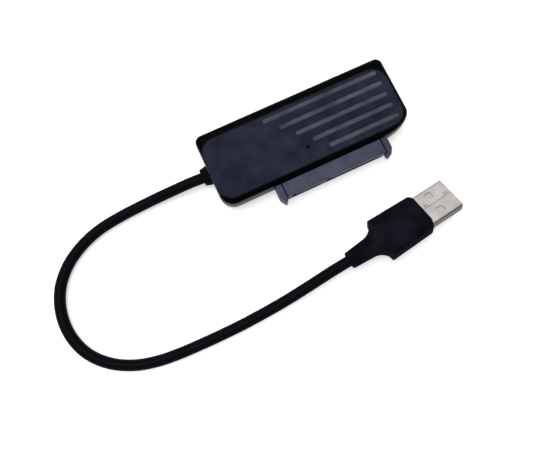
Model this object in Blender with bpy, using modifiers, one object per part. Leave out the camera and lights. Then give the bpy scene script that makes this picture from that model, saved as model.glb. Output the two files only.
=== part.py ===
"""USB to SATA adapter: a two-shell housing round a small board, with a 22-way SATA receptacle
in its front wall and a cord that ends in a USB plug.

The origin is the centre of the housing's bottom face, +X runs along the housing away from the
cord, and the receptacle faces -Y. Lengths are in metres.
"""

from math import cos, radians, sin

import bmesh
import bpy
from mathutils import Matrix, Vector

MM = 0.001

# Fits
CLEARANCE = 0.3 * MM
CONTACT_CLEARANCE = 0.1 * MM
CORNER_STEPS = 6
SMALLEST_RADIUS = 0.2 * MM

# Housing
HOUSING_LENGTH = 71.8 * MM
HOUSING_WIDTH = 27.5 * MM
HOUSING_HEIGHT = 9.0 * MM
WALL = 1.4 * MM
SEAM_HEIGHT = 4.6 * MM
SHOULDER_RADIUS = 2.4 * MM
SHOULDER_STEPS = 6
BASE_RADIUS = 1.8 * MM
BASE_DRAFT = 0.6 * MM
UPRIGHT_RIM = 0.8 * MM
BACK_CORNER_RADIUS = 2.6 * MM
FRONT_LEFT_CORNER_RADIUS = 5.0 * MM
FRONT_RIGHT_CORNER_LENGTH = 12.0 * MM
FRONT_RIGHT_CORNER_WIDTH = 6.5 * MM
LIP_HEIGHT = 1.1 * MM
LIP_THICKNESS = 0.5 * MM
LIP_SET_BACK = 0.1 * MM

# Grooves in the top face, each one pitch further back and one pitch longer than the last
GROOVE_COUNT = 5
GROOVE_PITCH = 4.28 * MM
GROOVE_WIDTH = 1.7 * MM
GROOVE_DEPTH = 0.3 * MM
GROOVE_RIGHT_MARGIN = 4.1 * MM
LONGEST_GROOVE = 43.7 * MM
FIRST_GROOVE_FROM_BACK = 5.25 * MM

# Light hole, and the lamp under it
LIGHT_HOLE_DIAMETER = 1.0 * MM
LIGHT_HOLE_X = -1.7 * MM
LIGHT_HOLE_FROM_FRONT = 7.65 * MM
LAMP_SIZE = (1.6 * MM, 0.8 * MM, 0.7 * MM)

# Posts that clamp the board
POST_RADIUS = 1.6 * MM
PEG_RADIUS = 0.8 * MM
PEG_DEPTH = 2.2 * MM
POST_FROM_END = 5.0 * MM
POST_FROM_SIDE = 3.2 * MM

# SATA receptacle
SATA_CENTRE_X = 3.7 * MM
SATA_BODY_HEIGHT = 5.4 * MM
SATA_BODY_DEPTH = 9.2 * MM
SATA_REACH = 4.7 * MM
SATA_CENTRE_HEIGHT = 4.5 * MM
FLANGE_DEPTH = 2.4 * MM
ARM_WIDTH = 2.2 * MM
ARM_GAP = 0.45 * MM
ARM_REACH = 1.65 * MM
ARM_SHOULDER_SET_BACK = 0.6 * MM
ARM_SHOULDER_INSET = 0.3 * MM
ARM_NOSE_WIDTH = 0.25 * MM
ARM_NOSE_INSET = 0.6 * MM
ARM_EDGE = 0.15 * MM
SLOT_HEIGHT = 1.7 * MM
SLOT_FLOOR = 0.95 * MM
SLOT_DEPTH = 7.0 * MM
SLOT_MARGIN = 1.75 * MM
SLOT_RIB = 2.6 * MM
KEY_WIDTH = 1.4 * MM
KEY_HEIGHT = 1.4 * MM
KEY_TO_CONTACT = 0.8 * MM
CONTACT_TO_SLOT_END = 0.6 * MM

# Contacts of the receptacle
CONTACT_PITCH = 1.27 * MM
CONTACT_WIDTH = 0.7 * MM
CONTACT_THICKNESS = 0.25 * MM
SIGNAL_CONTACTS = 7
POWER_CONTACTS = 15
CHANNEL_HEIGHT = 1.45 * MM
CHANNEL_FRONT_WALL = 0.6 * MM
CONTACT_BITE = 0.35 * MM
TAIL_LENGTH = 1.9 * MM

# Circuit board and its parts: centres are measured from the board's own centre
BOARD_THICKNESS = 1.2 * MM
BOARD_TOP = 4.4 * MM
BOARD_EDGE_GAP = 2.0 * MM
BOARD_CORNER_RADIUS = 2.0 * MM
CHIP_SIZE = 7.0 * MM
CHIP_HEIGHT = 1.4 * MM
CHIP_CENTRE = (4.0 * MM, 1.0 * MM)
CHIP_LEADS_PER_SIDE = 8
CHIP_LEAD_PITCH = 0.8 * MM
CHIP_LEAD_WIDTH = 0.35 * MM
LEAD_THICKNESS = 0.2 * MM
LEAD_REACH = 1.0 * MM
CRYSTAL_SIZE = (5.0 * MM, 3.2 * MM, 1.2 * MM)
CRYSTAL_CENTRE = (13.0 * MM, 4.0 * MM)
CRYSTAL_LID_INSET = 0.25 * MM
CRYSTAL_CORNER_RADIUS = 0.4 * MM
REGULATOR_SIZE = (6.5 * MM, 3.5 * MM, 1.6 * MM)
REGULATOR_CENTRE = (-14.0 * MM, 2.0 * MM)
REGULATOR_LEAD_PITCH = 2.3 * MM
REGULATOR_LEAD_WIDTH = 0.7 * MM
REGULATOR_TAB_WIDTH = 3.0 * MM
CHIP_PART_LENGTH = 2.0 * MM
CHIP_PART_WIDTH = 1.25 * MM
CHIP_PART_CAP = 0.4 * MM
CHIP_PART_CAP_STEP = 0.05 * MM
CHIP_PART_EDGE_RADIUS = 0.1 * MM
CAPACITOR_HEIGHT = 1.25 * MM
RESISTOR_HEIGHT = 0.55 * MM
CAPACITOR_CENTRES = (
    (-20.0 * MM, 3.5 * MM),
    (-8.0 * MM, 3.5 * MM),
    (19.0 * MM, 6.0 * MM),
    (19.0 * MM, 1.0 * MM),
)
RESISTOR_CENTRES = (
    (-5.5 * MM, -4.0 * MM),
    (13.0 * MM, 0.5 * MM),
)
END_RESISTOR_FROM_END = 8.9 * MM
END_RESISTOR_Y = 3.0 * MM

# Gland where the cord leaves the housing
GLAND_Y = 0.4 * MM
GLAND_HEIGHT = 4.4 * MM
GLAND_LENGTH = 2.6 * MM
GLAND_WIDTH = 6.2 * MM
GLAND_DEPTH = 5.8 * MM
GLAND_END_WIDTH = 5.2 * MM
GLAND_END_DEPTH = 5.0 * MM
GLAND_NECK_WIDTH = 4.8 * MM
GLAND_NECK_DEPTH = 4.4 * MM
GLAND_FLANGE_WIDTH = 6.6 * MM
GLAND_FLANGE_DEPTH = 5.2 * MM
GLAND_FLANGE_LENGTH = 1.0 * MM
GLAND_CORNER_RADIUS = 1.3 * MM

# Wires from the gland to the board
WIRE_RADIUS = 0.4 * MM
WIRE_SPACING = 1.2 * MM
WIRE_PAD_SPACING = 2.0 * MM
WIRE_LENGTH_ON_BOARD = 3.5 * MM

# Cord
CORD_RADIUS = 1.9 * MM
CORD_POINT_SPACING = 2.0

# USB plug: X runs to the tip, from the plane where the shell leaves the grip
PLUG_X = 23.6 * MM
PLUG_Y = -42.8 * MM
PLUG_YAW = 7.6
PLUG_ROLL = -20.0
SHELL_WIDTH = 12.0 * MM
SHELL_DEPTH = 4.5 * MM
SHELL_WALL = 0.3 * MM
SHELL_LENGTH = 12.1 * MM
SHELL_IN_GRIP = 4.0 * MM
SHELL_CORNER_RADIUS = 0.7 * MM
WINDOW_LENGTH = 2.3 * MM
WINDOW_WIDTH = 2.4 * MM
WINDOW_FROM_TIP = 6.8 * MM
WINDOW_SPACING = 6.3 * MM
WINDOW_CORNER_RADIUS = 0.4 * MM
SEAM_WIDTH = 0.12 * MM
SEAM_KEY_LENGTH = 1.1 * MM
SEAM_KEY_WIDTH = 1.0 * MM
SEAM_KEY_FROM_TIP = 1.2 * MM
SEAM_KEY_SPACING = 8.2 * MM
TONGUE_SET_BACK = 0.6 * MM
TONGUE_CLEARANCE = 0.15 * MM
TONGUE_DEPTH = 1.75 * MM
PLUG_CONTACT_OFFSETS = (-3.5 * MM, -1.0 * MM, 1.0 * MM, 3.5 * MM)
PLUG_CONTACT_WIDTH = 1.1 * MM
PLUG_CONTACT_THICKNESS = 0.25 * MM
OUTER_CONTACT_SET_BACK = 1.6 * MM
INNER_CONTACT_SET_BACK = 2.6 * MM
GRIP_LENGTH = 17.0 * MM
GRIP_WIDTH = 15.3 * MM
GRIP_FRONT_WIDTH = 14.3 * MM
GRIP_DEPTH = 7.8 * MM
GRIP_FRONT_CHAMFER = 0.45 * MM
GRIP_FRONT_CHAMFER_LENGTH = 1.0 * MM
GRIP_CORNER_RADIUS = 2.2 * MM
GRIP_CROWN = 0.7 * MM
SHOULDER_LENGTH = 5.5 * MM
NECK_LENGTH = 7.1 * MM
NECK_DIAMETER = 7.0 * MM
NECK_END_DIAMETER = 6.0 * MM
GRIP_SHOULDER_STEPS = 7
GRIP_CHAMFER_STEPS = 3

# Values that follow from the ones above
CEILING = HOUSING_HEIGHT - WALL
LIP_INSET = WALL - LIP_SET_BACK - LIP_THICKNESS
FRONT_Y = -HOUSING_WIDTH / 2
LEFT_X = -HOUSING_LENGTH / 2
LIGHT_HOLE_Y = FRONT_Y + LIGHT_HOLE_FROM_FRONT
SLOT_WIDTHS = [
    KEY_WIDTH + KEY_TO_CONTACT + (contacts - 1) * CONTACT_PITCH + CONTACT_TO_SLOT_END
    for contacts in (SIGNAL_CONTACTS, POWER_CONTACTS)
]
SATA_BODY_WIDTH = 2 * SLOT_MARGIN + sum(SLOT_WIDTHS) + SLOT_RIB
MATING_Y = FRONT_Y - SATA_REACH
SATA_REAR_Y = MATING_Y + SATA_BODY_DEPTH
SATA_BOTTOM = SATA_CENTRE_HEIGHT - SATA_BODY_HEIGHT / 2
SATA_TOP = SATA_CENTRE_HEIGHT + SATA_BODY_HEIGHT / 2
SATA_HALF_WIDTH = SATA_BODY_WIDTH / 2 + ARM_GAP + ARM_WIDTH
SLOT_BOTTOM = SATA_BOTTOM + SLOT_FLOOR
SLOT_TOP = SLOT_BOTTOM + SLOT_HEIGHT
BEAM_HEIGHT = SLOT_TOP + CHANNEL_HEIGHT - CONTACT_CLEARANCE - CONTACT_THICKNESS
BOARD_BOTTOM = BOARD_TOP - BOARD_THICKNESS
BOARD_FRONT_Y = SATA_REAR_Y + CLEARANCE
BOARD_BACK_Y = HOUSING_WIDTH / 2 - WALL - BOARD_EDGE_GAP
BOARD_HALF_LENGTH = HOUSING_LENGTH / 2 - WALL - BOARD_EDGE_GAP
BOARD_CENTRE_Y = (BOARD_FRONT_Y + BOARD_BACK_Y) / 2
SEAT_HEIGHT = BOARD_TOP + CLEARANCE
GLAND_END_X = LEFT_X - GLAND_LENGTH
GLAND_FLANGE_X = LEFT_X + WALL + BASE_DRAFT + CLEARANCE
PLUG_HEIGHT = (
    (GRIP_WIDTH / 2 - GRIP_CORNER_RADIUS) * abs(sin(radians(PLUG_ROLL)))
    + (GRIP_DEPTH / 2 - GRIP_CORNER_RADIUS) * cos(radians(PLUG_ROLL))
    + GRIP_CORNER_RADIUS
)
NECK_END_X = -(GRIP_LENGTH + SHOULDER_LENGTH + NECK_LENGTH)

# The cord's own route, by hand, between the gland and the plug's neck
CORD_ROUTE = (
    (-42.1 * MM, 0.65 * MM, 4.35 * MM),
    (-46.1 * MM, 0.8 * MM, 4.0 * MM),
    (-53.7 * MM, 1.1 * MM, 2.8 * MM),
    (-62.0 * MM, 1.1 * MM, 2.0 * MM),
    (-70.1 * MM, 0.6 * MM, 1.9 * MM),
    (-78.1 * MM, -0.6 * MM, 1.9 * MM),
    (-85.6 * MM, -3.3 * MM, 1.9 * MM),
    (-92.3 * MM, -7.7 * MM, 1.9 * MM),
    (-97.3 * MM, -13.9 * MM, 1.9 * MM),
    (-99.8 * MM, -21.5 * MM, 1.9 * MM),
    (-99.7 * MM, -29.5 * MM, 1.9 * MM),
    (-96.9 * MM, -37.0 * MM, 1.9 * MM),
    (-91.6 * MM, -43.0 * MM, 1.9 * MM),
    (-84.7 * MM, -47.1 * MM, 1.9 * MM),
    (-77.1 * MM, -49.3 * MM, 1.9 * MM),
    (-69.4 * MM, -50.2 * MM, 1.9 * MM),
    (-61.7 * MM, -50.5 * MM, 1.9 * MM),
    (-53.9 * MM, -50.6 * MM, 1.9 * MM),
    (-46.0 * MM, -50.5 * MM, 1.9 * MM),
    (-38.1 * MM, -50.1 * MM, 1.95 * MM),
    (-30.2 * MM, -49.5 * MM, 2.3 * MM),
    (-22.2 * MM, -48.6 * MM, 3.4 * MM),
    (-14.3 * MM, -47.6 * MM, 4.8 * MM),
    (-9.8 * MM, -47.1 * MM, 5.4 * MM),
)

# Axes of a drawn outline: upright ones run along X or along Y instead of up
ALONG_X = Matrix(((0, 0, 1, 0), (1, 0, 0, 0), (0, 1, 0, 0), (0, 0, 0, 1)))
ALONG_Y = Matrix(((1, 0, 0, 0), (0, 0, -1, 0), (0, 1, 0, 0), (0, 0, 0, 1)))


# Scene, collections and materials

def clear_scene():
    for leftover in list(bpy.data.objects):
        bpy.data.objects.remove(leftover, do_unlink=True)


def new_collection(name):
    collection = bpy.data.collections.new(name)
    bpy.context.scene.collection.children.link(collection)
    return collection


def linear_colour(hex_colour):
    """An sRGB hex colour as linear RGBA."""
    channels = [int(hex_colour[i:i + 2], 16) / 255 for i in (0, 2, 4)]
    linear = [c / 12.92 if c <= 0.04045 else ((c + 0.055) / 1.055) ** 2.4 for c in channels]
    return (*linear, 1.0)


def material(name, hex_colour, roughness, metallic=0.0):
    finish = bpy.data.materials.get(name) or bpy.data.materials.new(name)
    finish.use_nodes = True
    shader = finish.node_tree.nodes["Principled BSDF"]
    shader.inputs["Base Color"].default_value = linear_colour(hex_colour)
    shader.inputs["Roughness"].default_value = roughness
    shader.inputs["Metallic"].default_value = metallic
    finish.diffuse_color = linear_colour(hex_colour)
    return finish


def housing_plastic():
    return material("slate ABS", "2C2F3C", 0.42)


def connector_plastic():
    return material("blue grey PBT", "5F6274", 0.5)


def cord_rubber():
    return material("black PVC", "131418", 0.55)


def board_laminate():
    return material("green FR4 laminate", "1F5A3A", 0.5)


def chip_epoxy():
    return material("black epoxy", "17181A", 0.6)


def contact_metal():
    return material("gold plated bronze", "C9A45A", 0.3, 1.0)


def solder_metal():
    return material("tinned steel", "B9B7B2", 0.35, 1.0)


# Shapes

def add_part(name, data, finish, parent=None):
    """Links a mesh or curve as one named piece of the adapter."""
    piece = bpy.data.objects.new(name, data)
    data.materials.append(finish)
    bpy.data.collections["usb_to_sata_adapter"].objects.link(piece)
    piece.parent = parent
    return piece


def add_cutter(name, mesh, parent=None):
    """Links a mesh as a tool that only shapes other pieces."""
    tool = bpy.data.objects.new(name, mesh)
    bpy.data.collections["cutters"].objects.link(tool)
    tool.display_type = "WIRE"
    tool.hide_render = True
    tool.parent = parent
    return tool


def combine(target, tool, operation):
    change = target.modifiers.new(f"{operation.lower()} {tool.name}", "BOOLEAN")
    change.operation = operation
    change.solver = "EXACT"
    change.object = tool


def shade_round(mesh, angle=35):
    mesh.shade_smooth()
    mesh.set_sharp_from_angle(angle=radians(angle))


def merged(name, meshes):
    """One mesh that holds several separate ones, which are then removed."""
    result = bpy.data.meshes.new(name)
    bm = bmesh.new()
    for mesh in meshes:
        bm.from_mesh(mesh)
    bm.to_mesh(result)
    bm.free()
    for mesh in meshes:
        bpy.data.meshes.remove(mesh)
    return result


def box_mesh(name, low, high):
    """A block between two opposite corners."""
    mesh = bpy.data.meshes.new(name)
    bm = bmesh.new()
    size = [h - l for l, h in zip(low, high)]
    centre = [(h + l) / 2 for l, h in zip(low, high)]
    place = Matrix.Translation(centre) @ Matrix.Diagonal((*size, 1.0))
    bmesh.ops.create_cube(bm, size=1.0, matrix=place)
    bm.to_mesh(mesh)
    bm.free()
    return mesh


def cylinder_mesh(name, radius, x, y, bottom, top, sides=20):
    mesh = bpy.data.meshes.new(name)
    bm = bmesh.new()
    place = Matrix.Translation((x, y, (bottom + top) / 2))
    bmesh.ops.create_cone(
        bm, cap_ends=True, segments=sides, radius1=radius, radius2=radius,
        depth=top - bottom, matrix=place,
    )
    bm.to_mesh(mesh)
    bm.free()
    return mesh


def plate_mesh(name, outlines, bottom, top, turn=Matrix()):
    """A flat outline, with any holes, as a filled curve between two heights along its own axis."""
    curve = bpy.data.curves.new(name, "CURVE")
    curve.dimensions = "2D"
    curve.fill_mode = "BOTH"
    curve.extrude = (top - bottom) / 2
    for outline in outlines:
        spline = curve.splines.new("POLY")
        spline.points.add(len(outline) - 1)
        for point, (u, v) in zip(spline.points, outline):
            point.co = (u, v, 0.0, 1.0)
        spline.use_cyclic_u = True
    holder = bpy.data.objects.new(name, curve)
    bpy.context.scene.collection.objects.link(holder)
    bpy.context.view_layer.update()
    evaluated = holder.evaluated_get(bpy.context.evaluated_depsgraph_get())
    mesh = bpy.data.meshes.new_from_object(evaluated)
    mesh.transform(turn @ Matrix.Translation((0, 0, (bottom + top) / 2)))
    bpy.data.objects.remove(holder, do_unlink=True)
    bpy.data.curves.remove(curve)
    bm = bmesh.new()
    bm.from_mesh(mesh)
    bmesh.ops.remove_doubles(bm, verts=bm.verts, dist=0.001 * MM)
    bmesh.ops.dissolve_limit(bm, angle_limit=radians(0.5), verts=bm.verts, edges=bm.edges)
    bmesh.ops.recalc_face_normals(bm, faces=bm.faces)
    bm.to_mesh(mesh)
    bm.free()
    return mesh


def loft_mesh(name, rings, cap_start=True, cap_end=True):
    """A surface through rings of equal length that run counter-clockwise round their axis."""
    mesh = bpy.data.meshes.new(name)
    bm = bmesh.new()
    rows = [[bm.verts.new(point) for point in ring] for ring in rings]
    count = len(rows[0])
    for near, far in zip(rows, rows[1:]):
        for i in range(count):
            j = (i + 1) % count
            bm.faces.new((near[i], near[j], far[j], far[i]))
    if cap_start:
        bm.faces.new(list(reversed(rows[0])))
    if cap_end:
        bm.faces.new(rows[-1])
    bm.to_mesh(mesh)
    bm.free()
    return mesh


def rounded_rectangle(left, right, front, back, radii, steps=CORNER_STEPS):
    """Corner arcs in order: back right, back left, front left, front right.

    Each corner is one radius, or a pair where it runs further along X than along Y."""
    reaches = [radius if isinstance(radius, tuple) else (radius, radius) for radius in radii]
    corners = ((right, back, 0), (left, back, 90), (left, front, 180), (right, front, 270))
    points = []
    for (x, y, start), (along_x, along_y) in zip(corners, reaches):
        u = x - along_x if x == right else x + along_x
        v = y - along_y if y == back else y + along_y
        for step in range(steps + 1):
            angle = radians(start + 90 * step / steps)
            points.append((u + along_x * cos(angle), v + along_y * sin(angle)))
    return points


def circle(x, y, radius, sides=20):
    turn = 360 / sides
    return [
        (x + radius * cos(radians(turn * i)), y + radius * sin(radians(turn * i)))
        for i in range(sides)
    ]


def bar_mesh(name, sections, radius, steps=3):
    """A bar along X through rounded rectangles, each given as x, width along Y and depth along Z."""
    rings = []
    for x, width, depth in sections:
        corner = min(radius, width / 2.01, depth / 2.01)
        outline = rounded_rectangle(
            -width / 2, width / 2, -depth / 2, depth / 2, [corner] * 4, steps)
        rings.append([(x, y, z) for y, z in outline])
    return loft_mesh(name, rings)


def strip_outline(centreline, thickness):
    """The outline of a bent strip, mitred at its bends."""
    points = [Vector(point) for point in centreline]
    left = []
    right = []
    for i, point in enumerate(points):
        before = (point - points[i - 1]).normalized() if i else None
        after = (points[i + 1] - point).normalized() if i + 1 < len(points) else None
        ahead = ((before or after) + (after or before)).normalized()
        side = Vector((-ahead.y, ahead.x))
        straight = Vector((-(after or before).y, (after or before).x))
        offset = side * (thickness / 2 / side.dot(straight))
        left.append(point + offset)
        right.append(point - offset)
    return [tuple(point) for point in right + left[::-1]]


def smooth_path(points, spacing, lowest):
    """Points at an even spacing along a Catmull-Rom curve, none of them below a height."""
    knots = [Vector(point) for point in points]
    knots = [2 * knots[0] - knots[1], *knots, 2 * knots[-1] - knots[-2]]
    fine = []
    for a, b, c, d in zip(knots, knots[1:], knots[2:], knots[3:]):
        for step in range(20):
            t = step / 20
            fine.append(0.5 * (
                2 * b + (c - a) * t + (2 * a - 5 * b + 4 * c - d) * t * t
                + (3 * b - a - 3 * c + d) * t ** 3))
    fine.append(knots[-2])
    total = sum((q - p).length for p, q in zip(fine, fine[1:]))
    pieces = max(2, round(total / spacing))
    path = [fine[0]]
    travelled = 0.0
    for p, q in zip(fine, fine[1:]):
        travelled += (q - p).length
        if travelled >= total * len(path) / pieces and len(path) < pieces:
            path.append(q)
    path.append(fine[-1])
    return [Vector((p.x, p.y, max(p.z, lowest))) for p in path]


def tube_curve(name, points, radius, resolution=2):
    """A round tube with closed ends along a run of points."""
    curve = bpy.data.curves.new(name, "CURVE")
    curve.dimensions = "3D"
    curve.bevel_depth = radius
    curve.bevel_resolution = resolution
    curve.use_fill_caps = True
    spline = curve.splines.new("POLY")
    spline.points.add(len(points) - 1)
    for point, place in zip(spline.points, points):
        point.co = (*place, 1.0)
    return curve


# Housing

def housing_outline(inset):
    half_length = HOUSING_LENGTH / 2 - inset
    half_width = HOUSING_WIDTH / 2 - inset
    corners = (
        (BACK_CORNER_RADIUS, BACK_CORNER_RADIUS),
        (BACK_CORNER_RADIUS, BACK_CORNER_RADIUS),
        (FRONT_LEFT_CORNER_RADIUS, FRONT_LEFT_CORNER_RADIUS),
        (FRONT_RIGHT_CORNER_LENGTH, FRONT_RIGHT_CORNER_WIDTH))
    reaches = [
        tuple(max(reach - inset, SMALLEST_RADIUS) for reach in corner) for corner in corners]
    return rounded_rectangle(-half_length, half_length, -half_width, half_width, reaches)


def housing_ring(inset, height):
    return [(x, y, height) for x, y in housing_outline(inset)]


def post_places():
    """Centres of the four posts, inside the board's corners."""
    x = BOARD_HALF_LENGTH - POST_FROM_END
    return [
        (side * x, y)
        for side in (-1, 1)
        for y in (BOARD_FRONT_Y + POST_FROM_SIDE, BOARD_BACK_Y - POST_FROM_SIDE)
    ]


def section_arc(centre_inset, centre_height, radius, start, end):
    """A round stretch of a wall's section, as insets from the outline and heights."""
    points = []
    for step in range(SHOULDER_STEPS + 1):
        angle = radians(start + (end - start) * step / SHOULDER_STEPS)
        points.append((centre_inset - radius * cos(angle), centre_height + radius * sin(angle)))
    return points


def cover_shell(name, section):
    """A tray or lid whose wall has the same section all round the housing's outline."""
    surface = loft_mesh(name, [housing_ring(inset, height) for inset, height in section])
    shade_round(surface)
    return add_part(name, surface, housing_plastic())


def groove_bars():
    """Round-ended cutters for the grooves, stepped back by one pitch from row to row."""
    right = HOUSING_LENGTH / 2 - GROOVE_RIGHT_MARGIN
    end = GROOVE_WIDTH / 2
    bars = []
    for row in range(GROOVE_COUNT):
        y = HOUSING_WIDTH / 2 - FIRST_GROOVE_FROM_BACK - row * GROOVE_PITCH
        left = right - LONGEST_GROOVE + row * GROOVE_PITCH
        outline = rounded_rectangle(left, right, y - end, y + end, [end * 0.98] * 4, 4)
        bars.append(plate_mesh(
            "groove bar", [outline], HOUSING_HEIGHT - GROOVE_DEPTH, HOUSING_HEIGHT + WALL))
    return merged("groove bars", bars)


def connector_opening():
    half = SATA_HALF_WIDTH + CLEARANCE
    return box_mesh(
        "connector opening",
        (SATA_CENTRE_X - half, FRONT_Y - WALL, SATA_BOTTOM - CLEARANCE),
        (SATA_CENTRE_X + half, FRONT_Y + 2 * WALL, SATA_TOP + CLEARANCE))


def gland_opening():
    width = GLAND_NECK_WIDTH + 2 * CLEARANCE
    depth = GLAND_NECK_DEPTH + 2 * CLEARANCE
    sections = ((LEFT_X - WALL, width, depth), (LEFT_X + 2 * WALL, width, depth))
    mesh = bar_mesh("gland opening", sections, GLAND_CORNER_RADIUS)
    mesh.transform(Matrix.Translation((0, GLAND_Y, GLAND_HEIGHT)))
    return mesh


def make_top_cover(openings):
    """A lid with a rounded shoulder, grooves, a light hole, clamping posts and a rebated rim."""
    centre = (SHOULDER_RADIUS, HOUSING_HEIGHT - SHOULDER_RADIUS)
    inner_radius = max(SHOULDER_RADIUS - WALL, SMALLEST_RADIUS)
    rim = SEAM_HEIGHT + CLEARANCE
    rebate_inset = LIP_INSET - CLEARANCE
    rebate_top = SEAM_HEIGHT + LIP_HEIGHT + CLEARANCE
    cover = cover_shell("top_cover", (
        *section_arc(*centre, inner_radius, 90, 0),
        (WALL, rebate_top),
        (rebate_inset, rebate_top),
        (rebate_inset, rim),
        (0.0, rim),
        *section_arc(*centre, SHOULDER_RADIUS, 0, 90),
    ))
    posts = []
    for x, y in post_places():
        posts.append(cylinder_mesh("post", POST_RADIUS, x, y, SEAT_HEIGHT, CEILING + WALL / 2))
        posts.append(cylinder_mesh(
            "peg", PEG_RADIUS, x, y, BOARD_BOTTOM - PEG_DEPTH / 2, SEAT_HEIGHT + CLEARANCE))
    post_tool = merge_union("cover posts", posts)
    combine(cover, add_cutter("cover posts", post_tool), "UNION")
    combine(cover, add_cutter("groove bars", groove_bars()), "DIFFERENCE")
    hole = cylinder_mesh(
        "light hole", LIGHT_HOLE_DIAMETER / 2, LIGHT_HOLE_X, LIGHT_HOLE_Y,
        CEILING - WALL, HOUSING_HEIGHT + WALL)
    combine(cover, add_cutter("light hole", hole), "DIFFERENCE")
    for opening in openings:
        combine(cover, opening, "DIFFERENCE")


def merge_union(name, meshes):
    """One closed mesh from several that overlap each other."""
    base = bpy.data.objects.new(name, meshes[0])
    bpy.context.scene.collection.objects.link(base)
    others = []
    for mesh in meshes[1:]:
        other = bpy.data.objects.new(mesh.name, mesh)
        bpy.context.scene.collection.objects.link(other)
        combine(base, other, "UNION")
        others.append(other)
    bpy.context.view_layer.update()
    evaluated = base.evaluated_get(bpy.context.evaluated_depsgraph_get())
    result = bpy.data.meshes.new_from_object(evaluated)
    result.name = name
    for tool in [base, *others]:
        bpy.data.objects.remove(tool, do_unlink=True)
    for mesh in meshes:
        bpy.data.meshes.remove(mesh)
    return result


def make_bottom_cover(openings):
    """A tray with drafted sides, a rounded base edge, a locating lip and bored bosses."""
    centre = (BASE_DRAFT + BASE_RADIUS, BASE_RADIUS)
    inner_radius = max(BASE_RADIUS - WALL, SMALLEST_RADIUS)
    lip_inner = LIP_INSET + LIP_THICKNESS
    cover = cover_shell("bottom_cover", (
        *section_arc(*centre, BASE_RADIUS, -90, 0),
        (0.0, SEAM_HEIGHT - UPRIGHT_RIM),
        (0.0, SEAM_HEIGHT),
        (LIP_INSET, SEAM_HEIGHT),
        (LIP_INSET, SEAM_HEIGHT + LIP_HEIGHT),
        (lip_inner, SEAM_HEIGHT + LIP_HEIGHT),
        (lip_inner, SEAM_HEIGHT),
        (WALL, SEAM_HEIGHT),
        (WALL, SEAM_HEIGHT - UPRIGHT_RIM),
        *section_arc(*centre, inner_radius, 0, -90),
    ))
    bosses = []
    bores = []
    for x, y in post_places():
        bosses.append(cylinder_mesh(
            "boss", POST_RADIUS, x, y, WALL / 2, BOARD_BOTTOM - CLEARANCE))
        bores.append(cylinder_mesh(
            "bore", PEG_RADIUS + CLEARANCE, x, y, WALL * 0.75, BOARD_TOP))
    combine(cover, add_cutter("bosses", merged("bosses", bosses)), "UNION")
    combine(cover, add_cutter("boss bores", merged("boss bores", bores)), "DIFFERENCE")
    for opening in openings:
        combine(cover, opening, "DIFFERENCE")


# SATA receptacle

def slot_lefts():
    """Left ends of the signal slot and of the power slot."""
    signal = SATA_CENTRE_X - SATA_BODY_WIDTH / 2 + SLOT_MARGIN
    return signal, signal + SLOT_WIDTHS[0] + SLOT_RIB


def contact_places(contacts, slot_left):
    first = slot_left + KEY_WIDTH + KEY_TO_CONTACT
    return [first + i * CONTACT_PITCH for i in range(contacts)]


def receptacle_outline():
    """Plan of the moulding: flange, two guide arms with pointed noses, and the body between them."""
    body = SATA_BODY_WIDTH / 2
    inner = body + ARM_GAP
    outer = SATA_HALF_WIDTH
    flange_y = SATA_REAR_Y - FLANGE_DEPTH
    tip_y = MATING_Y - ARM_REACH
    nose = inner + ARM_NOSE_INSET
    right_half = (
        (outer, SATA_REAR_Y),
        (outer, MATING_Y + ARM_SHOULDER_SET_BACK),
        (outer - ARM_SHOULDER_INSET, MATING_Y),
        (nose + ARM_NOSE_WIDTH, tip_y),
        (nose, tip_y),
        (inner, tip_y + ARM_NOSE_INSET),
        (inner, flange_y),
        (body, flange_y),
        (body, MATING_Y),
    )
    left_half = [(-x, y) for x, y in reversed(right_half)]
    return [(SATA_CENTRE_X + x, y) for x, y in (*right_half, *left_half)]


def slot_outline(left, width):
    """An L: the blade's slot, and the key's leg that rises at its left end."""
    right = left + width
    return [
        (left, SLOT_BOTTOM),
        (right, SLOT_BOTTOM),
        (right, SLOT_TOP),
        (left + KEY_WIDTH, SLOT_TOP),
        (left + KEY_WIDTH, SLOT_TOP + KEY_HEIGHT),
        (left, SLOT_TOP + KEY_HEIGHT),
    ]


def channel_outline():
    """Side view of one contact's channel: the space over the slot and the tunnel to the rear."""
    tunnel = CONTACT_THICKNESS / 2 + CONTACT_CLEARANCE
    channel_top = SLOT_TOP + CHANNEL_HEIGHT
    front = MATING_Y + CHANNEL_FRONT_WALL
    back = MATING_Y + SLOT_DEPTH
    beyond = SATA_REAR_Y + CLEARANCE
    return [
        (front, SLOT_TOP - CLEARANCE),
        (back, SLOT_TOP - CLEARANCE),
        (back, BEAM_HEIGHT - tunnel),
        (beyond, BEAM_HEIGHT - tunnel),
        (beyond, BEAM_HEIGHT + tunnel),
        (back, BEAM_HEIGHT + tunnel),
        (back, channel_top),
        (front, channel_top),
    ]


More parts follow.
